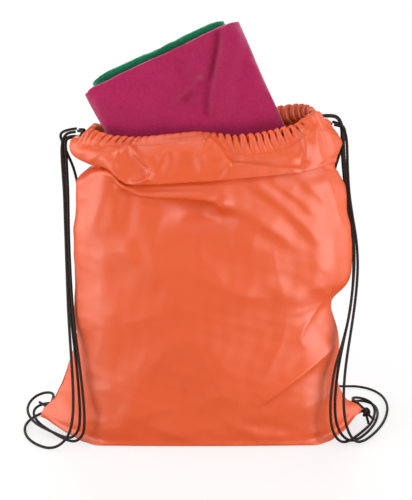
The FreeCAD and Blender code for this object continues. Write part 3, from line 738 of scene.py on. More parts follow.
def centreline(name: str, route: list) -> list:
    """Points along a cord's curve.

    Args:
        name: name for the curve while it is being read.
        route: control points from the exit to the far end.

    Returns:
        The points that the curve passes through, in order.
    """
    data = bpy.data.curves.new(name + "_line", "CURVE")
    data.dimensions = "3D"
    data.resolution_u = CURVE_STEPS
    spline = data.splines.new("NURBS")
    spline.points.add(len(route) - 1)
    for point, place in zip(spline.points, route):
        point.co = (*place, 1.0)
    spline.order_u = 3
    spline.use_endpoint_u = True
    curve = bpy.data.objects.new(name + "_line", data)
    bpy.context.scene.collection.objects.link(curve)
    mesh = bpy.data.meshes.new_from_object(curve)
    points = [tuple(vertex.co) for vertex in mesh.vertices]
    bpy.data.objects.remove(curve)
    bpy.data.meshes.remove(mesh)
    return points


def tube(name: str, points: np.ndarray, radius: float, sides: int = 14) -> bpy.types.Object:
    """Makes a round tube along a line, with the plait of a braided cord raised on it.

    Args:
        name: name of the piece.
        points: the line, in metres.
        radius: half the cord's diameter.
        sides: points in each ring.

    Returns:
        The new object, closed at both ends, with its length as the second cut coordinate.
    """
    line = np.asarray(points, dtype=float)
    keep = np.concatenate([[True], np.linalg.norm(np.diff(line, axis=0), axis=1) > 1e-6])
    line = line[keep]
    tangent = np.gradient(line, axis=0)
    tangent /= np.linalg.norm(tangent, axis=1, keepdims=True)
    run = run_along(line)
    across = np.cross(tangent[0], (0.31, 0.17, 0.93))
    across /= np.linalg.norm(across)
    frames = []
    for direction in tangent:
        across = across - direction * (across @ direction)
        across /= np.linalg.norm(across)
        frames.append((across, np.cross(direction, across)))
    turn = 2 * np.pi * np.arange(sides) / sides
    plait = 2 * np.pi * run[:, None] / PLAIT
    wave = np.maximum(np.sin(plait + 3 * turn), np.sin(plait - 3 * turn))
    size = radius * (1 + RELIEF * (wave - 0.45))
    first, second = np.array(frames).transpose(1, 0, 2)[:, :, None]
    circle = np.cos(turn)[None, :, None] * first + np.sin(turn)[None, :, None] * second
    rings = line[:, None] + size[..., None] * circle
    rows = len(line)
    faces = grid_faces(rows, sides, closed=True)
    layout = (rows, sides + 1)
    u = np.broadcast_to(np.arange(sides + 1) / sides, layout)
    corners = grid_corners(u, np.broadcast_to(run[:, None], layout))
    faces.append(tuple(range(sides))[::-1])
    faces.append(tuple((rows - 1) * sides + k for k in range(sides)))
    corners = np.concatenate([corners, np.zeros((2 * sides, 2))])
    return mesh_object(name, rings.reshape(-1, 3), faces, corners)


@dataclass
class Drawcords:
    """The free parts of both drawcords, from the channels to the knots and round the loops."""

    material: bpy.types.Material
    diameter: float = DIAMETER

    def build(self) -> None:
        """Makes the four strap strands, the two pull loops and the two knots."""
        knots = {side: CornerKnot(side, self.material).build() for side in ("left", "right")}
        for side in ("left", "right"):
            for place in ("front", "back"):
                name = f"{side}_strap_{place}"
                piece = self.cord(name + "_cord", name + "_strand", Body.BAG)
                self.declare(piece, name + "_strand")
        for side, body in (("left", Body.LEFT_LOOP), ("right", Body.RIGHT_LOOP)):
            piece = self.cord(side + "_loop_cord", side + "_pull_loop", body)
            self.declare(piece, side + "_pull_loop")

    def cord(self, name: str, route: str, body: Body) -> bpy.types.Object:
        """Makes one cord's braided tube.

        Args:
            name: name of the piece.
            route: the route that it follows, which is also the node it stands for.
            body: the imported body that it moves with.

        Returns:
            The new piece.
        """
        piece = tube(name, np.array(centreline(name, ROUTES[route])), self.diameter / 2)
        dress(piece, self.material, "cord", body, route)
        return piece

    def declare(self, piece: bpy.types.Object, route: str) -> None:
        """Reads one free cord's centreline again, which nothing then uses.

        Args:
            piece: the cord's piece.
            route: name of its route.
        """
        path = centreline(piece.name, ROUTES[route])


@dataclass
class CornerKnot:
    """Overhand knot of two cord ends at a bottom corner, with its short cut ends."""

    side: str
    material: bpy.types.Material
    radius: float = 0.0055

    def middle(self) -> np.ndarray:
        """Centre of the knot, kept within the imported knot's box.

        Returns:
            The place in metres.
        """
        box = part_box(f"{self.side}_corner_knot")
        low, high = np.array(box[0]), np.array(box[1])
        found = {"left": (-0.173, 0.01765, 0.020), "right": (0.1848, 0.0, 0.021)}[self.side]
        return np.clip(np.array(found), low, high)

    def build(self) -> bpy.types.Object:
        """Makes the knot: a three-lobed winding with both cut ends.

        Returns:
            The knot, as one piece.
        """
        middle = self.middle()
        turn = np.linspace(0, 2 * np.pi, 220)
        reach = self.radius - DIAMETER / 2
        swell = reach * (0.62 + 0.38 * np.cos(3 * turn))
        winding = np.stack(
            [swell * np.cos(2 * turn), swell * np.sin(2 * turn), 0.0030 * np.sin(3 * turn)], axis=1
        )
        lean = {"left": 0.5, "right": -0.4}[self.side]
        c, s = math.cos(lean), math.sin(lean)
        spin = np.array([[c, 0, s], [0, 1, 0], [-s, 0, c]])
        pieces = [tube(f"{self.side}_knot_winding", middle + winding @ spin.T, DIAMETER / 2, sides=12)]
        for number, (aim, droop) in enumerate(self.ends()):
            pieces.append(self.cut_end(number, middle, np.array(aim), droop))
        bpy.ops.object.select_all(action="DESELECT")
        for piece in pieces:
            piece.select_set(True)
        bpy.context.view_layer.objects.active = pieces[0]
        bpy.ops.object.join()
        knot = pieces[0]
        knot.name = f"{self.side}_tied_knot"
        dress(knot, self.material, "cord", Body.BAG, f"{self.side}_corner_knot")
        return knot

    def ends(self) -> list:
        """Directions of the two cut ends, and how much each bends.

        Returns:
            A direction and a droop for each end.
        """
        if self.side == "left":
            return [((0.0, 0.5, -0.866), 0.0), ((-0.802, 0.501, 0.326), 0.1)]
        return [((0.58, -0.724, -0.375), 0.0), ((0.185, -0.616, -0.766), 0.0)]

    def cut_end(self, number: int, middle: np.ndarray, aim: np.ndarray, droop: float) -> bpy.types.Object:
        """Makes one cut end of the cord.

        Args:
            number: 0 or 1, for the name.
            middle: the knot's centre.
            aim: direction in which the end points.
            droop: how much it bends down, as a share of 4 mm.

        Returns:
            The new tube.
        """
        aim = aim / np.linalg.norm(aim)
        t = np.linspace(0.2, 1.0, 26)[:, None]
        length = self.radius + 0.0085
        line = middle + aim * t * length
        line[:, 2] -= droop * 0.004 * t[:, 0] ** 2
        return tube(f"{self.side}_knot_end_{number}", line, DIAMETER / 2, sides=12)


# ---------------------------------------------------------------- bag cloth
# All tables are in millimetres, and run from the bag's left to its right.
COLUMNS = 300
FLAT_WIDTH = 0.354
SMALLEST_EAR = 4.0  # a narrower ear is drawn as part of the side
EAR_SPAN = 8  # points of a corner's turn that an ear takes the place of
FULLEST_SHIFT = 14.0  # how far left of its middle the front is fullest
ROUNDED_BACK = 18.0  # how far the face rounds back at its sides
FILLED_DEPTH = 50.8  # levels deeper than this stand 1 mm further out


class Face(Enum):
    """The two cloths of the bag: its front and its back."""

    FRONT = -1
    BACK = 1


# How much of the front's rounding each level of the gathered mouth takes; the others take all of it.
ROUNDING = {"tuck": 0.9, "tuck_top": 0.95, "stitch": 0.85, "hem_end": 0.85, "hem": 0.6, "inner_hem": 0.6,
            "rim": 0.3, "inner_rim": 0.3}


@dataclass
class Station:
    """One level of the bag cloth, as a ring between the two side seams, in millimetres."""

    name: str
    left: tuple  # (x, z) of the left side seam
    right: tuple  # (x, z) of the right side seam
    depth: float  # from the seams' plane to the face
    corner: float  # radius of the turn from the side to the face
    height: list  # (x, z) along the face
    push: list = field(default_factory=lambda: [(0, 0.0)])  # (x, inward push) along the face
    left_ear: float = 0.0  # width of the flat corner outside the filled part
    right_ear: float = 0.0

    def ring(self, face: Face) -> np.ndarray:
        """Lays the ring from the left seam to the right seam, in evenly spaced points.

        Args:
            face: which cloth it belongs to.

        Returns:
            The points in millimetres.
        """
        (x0, z0), (x1, z1) = self.left, self.right
        root0, root1 = x0 + self.left_ear, x1 - self.right_ear
        x, y = self.outline(root0, root1).T
        side = smooth_step(0.0, 26.0, y) if self.depth > 5 else np.ones_like(y)
        # The face rounds back towards both sides, from a middle that lies left of the ring's own.
        middle = 0.5 * (root0 + root1) - FULLEST_SHIFT
        half = 0.5 * (root1 - root0) + FULLEST_SHIFT
        share = ROUNDING.get(self.name, 1.0) * np.clip(0.5 * (z0 + z1) / 110.0, 0.12, 1.0)
        from_middle = np.clip(np.abs(x - middle) / half, 0, 1)
        pillow = ROUNDED_BACK * share * from_middle**2 * smooth_step(12.0, 58.0, y)
        push = sum(along(self.push, x + shift) for shift in (-4.5, -1.5, 1.5, 4.5)) / 4.0
        filled_out = 1.0 if self.depth > FILLED_DEPTH else 0.0
        y = y - (push - filled_out) * side - pillow
        near_seam = np.exp(-((x - x0) / 9.0) ** 2) + np.exp(-((x - x1) / 9.0) ** 2)
        z = along(self.height, x) * (1 - near_seam) + np.interp(x, (x0, x1), (z0, z1)) * near_seam
        return np.stack([x, face.value * y, z], axis=1)

    def outline(self, root0: float, root1: float) -> np.ndarray:
        """Draws the ring from above: out along each ear, round each corner and across the face.

        Args:
            root0: x where the filled part begins at the left.
            root1: x where it ends at the right.

        Returns:
            Evenly spaced points, as x and the distance from the seams' plane.
        """
        x0, x1 = self.left[0], self.right[0]
        r0 = min(self.corner, 0.96 * self.depth)
        flat = max(self.depth - r0, 0.0)
        turn = np.linspace(0, np.pi / 2, 24)
        left_arc = [(root0 + r0 * (1 - math.cos(t)), flat + r0 * math.sin(t)) for t in turn]
        right_arc = [(root1 - r0 * (1 - math.cos(t)), flat + r0 * math.sin(t)) for t in turn[::-1]]
        if self.left_ear >= SMALLEST_EAR:
            left = [(x0, 0.0), (x0 + 1.5, 1.6), *left_arc[EAR_SPAN:]]
        else:
            left = [(x0, 0.0), *((root0, flat * t) for t in (0.4, 0.8)), *left_arc]
        if self.right_ear >= SMALLEST_EAR:
            right = [*right_arc[:-EAR_SPAN], (x1 - 1.5, 1.6), (x1, 0.0)]
        else:
            right = [*right_arc, *((root1, flat * t) for t in (0.8, 0.4)), (x1, 0.0)]
        line = resample(np.array([*left, *right]), 900)
        smooth_line(line, 60)
        return resample(line, COLUMNS)


def smooth_line(line: np.ndarray, rounds: int) -> None:
    """Softens the corners of a line in place, with both ends kept."""
    for _ in range(rounds):
        line[1:-1] += 0.5 * (0.5 * (line[:-2] + line[2:]) - line[1:-1])


def resample(line: np.ndarray, count: int) -> np.ndarray:
    """Spreads points evenly along a line of straight pieces.

    Args:
        line: corners of the line, one row each.
        count: how many points it gets.

    Returns:
        The points, both ends among them.
    """
    run = run_along(line)
    places = np.linspace(0.0, run[-1], count)
    return np.stack([np.interp(places, run, line[:, k]) for k in range(line.shape[1])], axis=1)


def level(z: float) -> list:
    """A height table that is the same everywhere."""
    return [(0, z)]


UNDERSIDE = [
    Station("bottom_seam", (-178.6, 15.2), (179.4, 21.2), 0.0, 0.0,
            [(-178, 15), (-150, 5.4), (-128, 0.5), (143, 0.5), (160, 6), (179, 21)]),
    Station("underside", (-179, 15.8), (180, 21.7), 25.0, 20.0,
            [(-178, 15.4), (-150, 5.6), (-128, 0.4), (143, 0.4), (160, 6.2), (179, 21.4)],
            left_ear=52, right_ear=42),
    Station("underside_edge", (-179.2, 15.2), (180.4, 20.2), 49.0, 12.0,
            [(-178, 16), (-150, 6), (-130, 0.4), (143, 0.4), (160, 7), (179, 22)],
            left_ear=56, right_ear=44),
    Station("base", (-179.2, 16.2), (180.6, 21.4), 52.0, 13.0,
            [(-178, 17), (-150, 7.2), (-130, 1.6), (143, 1.6), (160, 8.6), (179, 22.6)],
            left_ear=57, right_ear=45),
]

FRONT_BODY = [
    Station("foot", (-178.4, 19.2), (180, 24.6), 52.0, 24.0,
            [(-178, 19), (-150, 10.5), (-128, 5.5), (143, 5.5), (160, 12), (179, 24.4)],
            left_ear=55, right_ear=44),
    Station("ear_top", (-174.5, 26.0), (176, 29.5), 53.2, 27.0,
            [(-174, 26), (-150, 18), (-125, 15), (143, 15), (160, 20), (176, 29)],
            left_ear=50, right_ear=38),
    Station("shin", (-164.5, 38.0), (162, 38.0), 54.4, 30.0,
            [(-164, 38), (-140, 31), (-120, 30), (143, 30), (162, 36)], left_ear=37, right_ear=21),
    Station("low", (-156.5, 54.0), (154, 52.0), 55.6, 34.0,
            [(-156, 54), (-135, 50), (143, 50), (154, 51)], left_ear=27, right_ear=10),
    Station("lower", (-147.5, 77.0), (152.6, 75.0), 56.4, 38.0, level(76.0), left_ear=15, right_ear=4),
    Station("lower_middle", (-139.5, 101.0), (151.8, 101.0), 57.0, 41.0, level(101.0), left_ear=5),
    Station("middle", (-136.4, 130.0), (146.4, 130.0), 57.4, 42.0, level(130.0)),
    Station("notch", (-136.4, 154.0), (142.4, 154.0), 57.6, 43.0, level(154.0)),
    Station("over_notch", (-136.4, 178.0), (160.2, 178.0), 57.6, 44.0, level(178.0)),
    Station("belly", (-136.2, 204.0), (164.6, 204.0), 57.6, 45.0, level(204.0)),
    Station("upper", (-135.6, 235.0), (160.6, 235.0), 57.4, 45.0, level(233.0),
            [(-90, 0), (-50, 1.0), (-10, 4.0), (10, 3.6), (40, 0)]),
]

FRONT_COLLAR = [
    Station("hollow", (-134.0, 262.0), (155.4, 261.0), 57.0, 44.0,
            [(-131, 262), (-93, 264), (-60, 263), (-30, 260), (0, 256.5), (18, 252.5), (26, 254.5),
             (45, 259), (90, 262), (150, 261)],
            [(-100, 0), (-66, 0.6), (-42, 4.5), (-16, 11.5), (4, 12.5), (14, 10.0), (24, 5.0),
             (36, 1.5), (48, 0)]),
    Station("under_second", (-133.6, 276.0), (153.8, 273.5), 57.0, 43.0,
            [(-131, 276.5), (-115, 285), (-107, 291), (-97, 294), (-91, 291), (-86, 285), (-78, 280.6),
             (-71, 276.8), (-60, 273.9), (-30, 272.8), (-10, 271.8), (6, 269), (15, 265), (20, 260.4),
             (24, 258.6), (32, 262), (45, 267), (70, 270.5), (100, 274), (130, 277), (150, 274.5)],
            [(-100, 0), (-88, 0), (-70, 0.5), (-44, 3.0), (-12, 5.5), (6, 5.5), (16, 4.5), (23, 2.5),
             (31, 1.0), (42, 0)]),
    Station("second_fold", (-132.6, 286.0), (153.0, 280.0), 57.0, 42.0,
            [(-130, 286.5), (-118, 293), (-107, 298), (-97, 299.5), (-91, 296), (-86, 289), (-78, 284),
             (-71, 279.5), (-60, 276.4), (-30, 275.4), (-10, 274.8), (6, 272.5), (15, 269), (20, 264.5),
             (24, 263), (32, 267), (45, 273), (70, 277), (100, 281), (130, 284), (150, 281)],
            [(-100, 0), (-88, -2), (-70, -4.5), (-40, -5), (0, -5), (12, -4), (20, -1.5), (30, 0)]),
    Station("under_tuck", (-120.5, 296.5), (147.0, 293.0), 54.0, 40.0,
            [(-114, 299.5), (-105, 302.4), (-97, 303), (-90, 300), (-84, 293), (-76, 288), (-60, 284.5),
             (-30, 284.5), (0, 285.5), (20, 285.5), (32, 286), (60, 289), (90, 292), (115, 296),
             (130, 298), (142, 295)],
            [(-100, 0), (-84, -3), (-60, -5), (0, -5), (20, -4.4), (36, -3.4), (100, -2.4), (126, 0)]),
    Station("tuck", (-109.8, 302.2), (142.2, 301.8), 52.0, 37.0,
            [(-105, 304), (-101, 306.5), (-92, 305), (-84, 298), (-76, 292.5), (-52, 292), (-27, 293),
             (29, 296.5), (60, 299), (104, 303.5), (126, 307), (137, 303)],
            [(-104, 0), (-84, -3.4), (-52, -4.6), (30, -4.6), (100, -3.4), (126, 0)]),
    Station("tuck_top", (-111.0, 303.4), (142.6, 305.0), 53.0, 36.0,
            [(-107, 304.6), (-101, 307.4), (-92, 305.5), (-84, 297.5), (-76, 292), (-52, 291.6),
             (-27, 292.6), (29, 296), (60, 298.4), (104, 303), (126, 307), (138, 305)],
            [(-104, 0), (-84, -3.6), (-52, -4.8), (30, -4.8), (100, -3.4), (126, 0)]),
    Station("lip", (-117.5, 305.0), (143.6, 307.0), 63.2, 39.0,
            [(-114, 303.5), (-106, 303.5), (-101, 304.5), (-92, 301.5), (-84, 292.8), (-76, 287.6),
             (-52, 288), (-27, 289.4), (29, 293.4), (60, 296), (104, 299.4), (126, 304), (139, 306)]),
    Station("lip_front", (-126.5, 308.4), (144.6, 311.0), 63.0, 40.0,
            [(-122, 307.5), (-110, 307.5), (-101, 309), (-92, 306.5), (-84, 298.5), (-76, 294), (-52, 294),
             (-27, 295), (29, 299), (60, 301), (104, 303), (126, 308), (140, 310)]),
    Station("collar", (-135.2, 314.5), (147.8, 318.0), 60.6, 41.0,
            [(-130, 312), (-110, 314), (-95, 314), (-84, 309), (-76, 305), (-52, 304.5), (-27, 306),
             (10, 309), (24, 309), (32, 307.6), (60, 307), (92, 305.6), (104, 306), (114, 311),
             (126, 316), (142, 317)],
            [(18, 0), (32, -1.4), (92, -1.2), (104, 1.5), (114, 0)]),
    Station("collar_top", (-137.0, 320.5), (150.6, 325.5), 57.4, 41.0,
            [(-130, 320), (-110, 320), (-95, 321), (-72, 320), (-41, 320), (-10, 323), (8, 323.5),
             (22, 318), (32, 312.6), (51, 312.4), (81, 315), (97, 319), (107, 326), (118, 331),
             (128, 329), (143, 325)],
            [(-20, -1.5), (14, -1.5), (26, 1.0), (90, 1.6), (104, 0.5)]),
    Station("stitch", (-135.6, 327.0), (146.4, 335.0), 53.4, 40.0,
            [(-128, 326), (-110, 324.5), (-95, 325.5), (-72, 326), (-41, 328), (-20, 330.5), (0, 332.6),
             (12, 332), (22, 326), (32, 317.2), (51, 316), (81, 320.2), (96, 326), (103, 331.4),
             (108, 335), (116, 341), (128, 341), (142, 336)]),
    Station("hem", (-134.0, 329.5), (139.8, 343.0), 49.6, 38.0,
            [(-128, 330), (-116, 333), (-100, 332), (-85, 330.6), (-60, 331.6), (-35, 333.4), (0, 337),
             (14, 336.5), (24, 332), (35, 327.5), (55, 327.8), (81, 332), (97, 337.6), (104, 343),
             (112, 350), (122, 354.5), (132, 350), (140, 344)],
            [(-60, 0), (-30, 1.0), (10, 1.0), (26, -0.8), (90, -0.8), (110, 0)]),
    Station("rim", (-128.0, 331.0), (134.0, 350.0), 44.0, 34.0,
            [(-124, 333), (-119, 341), (-111, 341.6), (-91, 335.6), (-69, 334), (-40, 337), (-4, 340.4),
             (20, 338), (36, 335.8), (58, 338), (81, 343), (98, 347), (103, 351), (113, 358.5),
             (122, 362.6), (126, 360), (130, 352)],
            [(-60, 0), (-30, 2.5), (10, 2.5), (24, -0.6), (90, -0.6), (105, 0)]),
    Station("inner_rim", (-124.5, 330.0), (130.5, 348.4), 40.2, 31.0,
            [(-121, 332), (-116, 339), (-109, 339.6), (-90, 333.8), (-69, 332), (-40, 335), (-4, 338.4),
             (20, 336), (36, 333.6), (58, 336), (81, 341), (97, 345), (102, 349), (111, 356),
             (119, 360), (123, 357.5), (127, 350)],
            [(-60, 0), (-30, 2.5), (10, 2.5), (24, -0.6), (90, -0.6), (105, 0)]),
    Station("inner_hem", (-126.5, 328.0), (132.5, 342.0), 42.4, 33.0,
            [(-121, 326), (-110, 326), (-90, 323), (-69, 322), (-40, 324), (-4, 328), (20, 326), (36, 322),
             (58, 324), (81, 329), (97, 334), (110, 345), (120, 348), (130, 343)]),
    Station("hem_end", (-133.4, 326.4), (143.0, 334.0), 50.6, 38.0,
            [(-126, 324), (-110, 322), (-95, 322), (-72, 322), (-41, 324), (0, 328.6), (12, 328), (22, 322),
             (32, 314), (51, 313), (81, 317), (96, 322), (103, 327), (116, 336), (128, 337), (140, 334)]),
]

# The back's body has the front's levels, at its own depths and with no push.
BACK_DEPTHS = (52.0, 53.2, 54.2, 55.2, 56.0, 56.4, 56.8, 57.0, 57.0, 56.8, 55.6)
BACK_BODY = [
    replace(station, depth=depth, push=[(0, 0.0)]) for station, depth in zip(FRONT_BODY, BACK_DEPTHS)
]

# The back's collar has the front's levels and seams too, with its own depths, corners and heights.
BACK_LEVELS = (
    (53.6, 44.0, level(257.0)),  # hollow
    (52.2, 43.0, [(-126, 273), (-60, 268), (0, 269), (60, 271), (140, 273)]),  # under_second
    (51.0, 42.0, [(-125, 279), (-60, 274), (0, 276), (60, 279), (140, 282)]),  # second_fold
    (48.6, 38.0, [(-110, 290), (-60, 284), (0, 286), (60, 290), (135, 295)]),  # under_tuck
    (47.2, 36.0, [(-100, 298), (-60, 292), (0, 294), (60, 299), (130, 304)]),  # tuck
    (47.0, 36.0, [(-102, 300), (-60, 295), (0, 297), (60, 302), (130, 307)]),  # tuck_top
    (48.6, 37.0, [(-108, 303), (-60, 300), (0, 302), (60, 307), (132, 311)]),  # lip
    (50.4, 39.0, [(-118, 307), (-60, 305), (0, 308), (60, 313), (136, 316)]),  # lip_front
    (52.4, 40.0, [(-126, 313), (-60, 314), (0, 317), (60, 322), (140, 323)]),  # collar
    (52.0, 40.0, [(-128, 320), (-60, 323), (0, 326), (60, 331), (118, 337), (142, 333)]),  # collar_top
    (50.4, 40.0, [(-128, 326), (-60, 328), (0, 332), (60, 337), (118, 343), (140, 339)]),  # stitch
    (47.0, 38.0, [(-127, 331), (-115, 335), (-60, 337), (0, 342), (60, 347), (108, 352),
                  (125, 352), (138, 346)]),  # hem
    (42.0, 34.0, [(-124, 334), (-118, 343), (-111, 340.4), (-60, 345), (0, 350), (60, 356),
                  (92, 359.6), (108, 361.4), (120, 360.4), (127, 356), (131, 351)]),  # rim
    (36.0, 30.0, [(-120, 332), (-114, 341), (-108, 338.6), (-60, 343), (0, 348), (60, 354),
                  (92, 357.6), (106, 359.4), (117, 358.4), (123, 354), (128, 349)]),  # inner_rim
    (33.5, 29.0, [(-120, 328), (-108, 329), (-60, 332), (0, 337), (60, 343), (108, 349),
                  (120, 347), (130, 343)]),  # inner_hem
    (38.0, 32.0, [(-124, 324), (-60, 325), (0, 329), (60, 334), (118, 340), (136, 336)]),  # hem_end
)
BACK_COLLAR = [
    replace(station, depth=depth, corner=corner, height=height, push=[(0, 0.0)])
    for station, (depth, corner, height) in zip(FRONT_COLLAR, BACK_LEVELS)
]


def end_fade(ends: tuple, share: np.ndarray) -> np.ndarray:
    """Lets a fold rise and fall off at its two ends.

    Args:
        ends: share of the fold's length that each end takes; 0 leaves that end abrupt.
        share: each place's share of the way along the fold.

    Returns:
        A factor from 0 to 1 for each place.
    """
    rise = smooth_step(0, ends[0], share) if ends[0] > 0 else 1.0
    fall = smooth_step(0, ends[1], 1 - share) if ends[1] > 0 else 1.0
    return rise * fall


@dataclass(frozen=True)
class Crease:
    """A soft fold along a line on the front, in (x, z): a crest and a hollow beside it."""

    line: tuple
    height: float  # two thirds of the crest's height
    width: float
    hollow: float = 0.0  # two thirds of the hollow's depth
    side: float = 1.0  # 1 for a hollow to the left of the line, -1 to its right
    ends: tuple = (0.2, 0.2)

    def field(self, places: np.ndarray) -> np.ndarray:
        """Outward displacement that the fold gives.

        Args:
            places: points on the front, as (x, z) in millimetres.

        Returns:
            The displacement of each point, in millimetres.
        """
        reach, sign, share = distance_to_line(places, list(self.line))
        crest = 1.5 * self.height * np.exp(-((reach / self.width) ** 2))
        offset = (reach * sign * self.side - 1.5 * self.width) / self.width
        dip = 1.5 * self.hollow * np.exp(-(offset**2))
        return (crest - dip) * end_fade(self.ends, share)


@dataclass(frozen=True)
class Ridge:
    """A crisp fold along a line on the front, in (x, z), which falls off at its own rate on each side."""

    line: tuple
    height: float
    left: float  # distance over which it falls off to the left of the line
    right: float
    ends: tuple = (0.1, 0.1)
    crest: float = 0.7  # roundness of the crest

    def field(self, places: np.ndarray) -> np.ndarray:
        """Outward displacement that the fold gives.

        Args:
            places: points on the front, as (x, z) in millimetres.

        Returns:
            The displacement of each point, in millimetres.
        """
        reach, sign, share = distance_to_line(places, list(self.line))
        slope = np.where(sign > 0, self.left, self.right)
        drop = (np.sqrt(reach**2 + self.crest**2) - self.crest) / slope
        return self.height * np.exp(-drop) * end_fade(self.ends, share)


BODY_CREASES = (
    Crease(((14, 272), (30, 266), (55, 254), (87.9, 232), (108, 212)), 1.9, 8.0, 0.6, -1.0, (0.1, 0.35)),
    Crease(((44, 303), (60.4, 286), (90, 262), (114, 238), (136, 210)), 1.6, 6.5, 0.4, -1.0, (0.02, 0.35)),
    Crease(((66, 304), (80, 288), (104, 270), (130, 246)), 1.2, 5.5, 0.3, -1.0, (0.02, 0.4)),
    Crease(((94, 306), (108, 290), (124, 274), (143, 250)), 0.8, 5.0, 0.2, -1.0, (0.02, 0.4)),
    Crease(((-81.2, 232), (-74, 212), (-61.7, 198.5)), 1.0, 8.0, 0.8, 1.0, (0.4, 0.4)),
    Ridge(((140, 172), (133.8, 165.2), (122, 148), (109, 131), (106.2, 121), (108, 114), (116, 106)),
          2.4, 3.2, 9.0, (0.1, 0.3)),
    Ridge(((147, 112), (128, 97), (104, 79), (77.4, 59.6), (66.5, 50), (64.8, 43), (70, 32)),
          4.4, 3.6, 16.0, (0.1, 0.3)),
    Ridge(((139.6, 112), (136.5, 86), (135.3, 58.6), (137, 24)), 1.0, 3.0, 5.0, (0.2, 0.2)),
    Ridge(((-127.6, 124), (-125, 104), (-118.5, 85.4), (-112, 72)), 1.0, 4.0, 4.0, (0.3, 0.4)),
    Crease(((-120, 74), (-112, 50), (-100, 30)), 0.5, 7.0, 0.3, -1.0, (0.3, 0.3)),
    Ridge(((125, 306), (129, 296), (136.8, 275.7), (143.5, 254.6), (153, 232)), 1.8, 5.0, 3.0, (0.02, 0.2)),
    Crease(((-97, 303), (-104, 282), (-112, 250), (-113, 205)), 1.6, 8.0, 0.8, -1.0, (0.05, 0.5)),
    Crease(((-84, 288), (-88, 262), (-92, 232)), 1.2, 9.0, 0.8, 1.0, (0.1, 0.5)),
    Crease(((60, 186), (96, 166), (124, 150)), 1.0, 10.0, 0.7, 1.0, (0.4, 0.2)),
    Crease(((20, 30), (60, 14), (104, 10)), 0.8, 6.0, 0.5, 1.0, (0.4, 0.3)),
    Ridge(((-96, 304.5), (-90, 297), (-84, 288.6), (-78, 283.6), (-71, 279), (-62.7, 277.1), (-30, 276),
           (-10.4, 275), (4, 273.6), (13.2, 271.4), (20, 267.4), (23.2, 262.5), (22.6, 258), (18, 254)),
          2.6, 7.0, 2.2, (0.03, 0.3)),
    Crease(((-40, 268), (-14, 264), (2, 261), (20, 259)), -1.7, 12.0, 0.0, 1.0, (0.6, 0.4)),
)

COLLAR_CREASES = (
    Ridge(((-88, 316), (-80, 322.5), (-73.3, 325.8), (-66, 319.8), (-58, 311.8), (-52.2, 305.5),
           (-50.6, 299.5), (-54, 294.5), (-62, 290.5), (-74.9, 288.5)), 5.0, 4.5, 1.7, (0.1, 0.1), 0.3),
    Ridge(((-104, 316), (-92, 311), (-84, 303)), 1.4, 5.0, 2.4, (0.3, 0.3)),
    Ridge(((6, 334.5), (12, 331.5), (17, 327), (22.5, 319.5), (29, 310.5), (33, 307.5)),
          4.2, 2.0, 10.0, (0.1, 0.15), 0.4),
    Ridge(((27, 309.4), (45, 308.2), (70, 306), (92, 303.6), (104.4, 302.6)),
          2.4, 2.2, 9.0, (0.06, 0.12), 0.4),
    Ridge(((104.4, 303.2), (98, 312), (88, 320), (76.4, 327.9)), 2.0, 8.0, 2.2, (0.5, 0.35)),
    Ridge(((104.4, 303.2), (101.5, 325), (97.5, 344)), 1.2, 5.0, 2.4, (0.5, 0.3)),
    Ridge(((105.5, 304), (109, 318), (106, 334), (110, 350)), 2.4, 2.2, 6.0, (0.35, 0.2)),
    Ridge(((128.4, 306.7), (122, 320), (119, 334), (121.5, 352)), 2.2, 6.0, 2.6, (0.1, 0.2)),
    Ridge(((141, 309), (139, 325), (131, 348)), 1.4, 3.0, 5.0, (0.2, 0.2)),
    Crease(((104.6, 301), (104, 309), (101, 317)), -0.5, 3.2, 0.0, 1.0, (0.0, 0.5)),
    Ridge(((-128, 314), (-118, 321), (-104, 327)), 1.4, 4.0, 2.4, (0.3, 0.2)),
    Ridge(((-122, 306), (-108, 315), (-98, 322), (-92, 333)), 1.6, 4.0, 2.4, (0.3, 0.2)),
    Crease(((-40, 325), (-38, 312), (-46, 298)), 0.9, 6.0, 0.6, 1.0, (0.3, 0.3)),
    Crease(((2, 330), (0, 316), (6, 300)), 0.9, 6.0, 0.6, -1.0, (0.3, 0.3)),
)


# How deep the channel is puckered, from left to right, in millimetres.
FRONT_GATHERS = [(-124, 1.6), (-112, 3.0), (-84, 3.4), (-66, 2.8), (-56, 1.2), (-44, 0.5), (6, 0.6),
                 (17, 2.2), (28, 3.6), (60, 3.8), (98, 3.4), (108, 1.8), (124, 1.6)]
BACK_GATHERS = [(-124, 1.6), (-60, 2.3), (0, 2.0), (60, 2.4), (124, 2.2)]
# The back's pleats: place, lean, height and width of each.
BACK_PLEATS = (
    (-92, 0.25, 2.4, 6.0), (-66, 0.12, 1.8, 5.0), (-38, 0.1, 2.6, 6.5), (-12, -0.04, 1.6, 5.0),
    (14, 0.06, 2.4, 6.0), (44, -0.1, 2.0, 5.5), (70, -0.16, 2.8, 6.0), (98, -0.3, 2.0, 6.0),
)


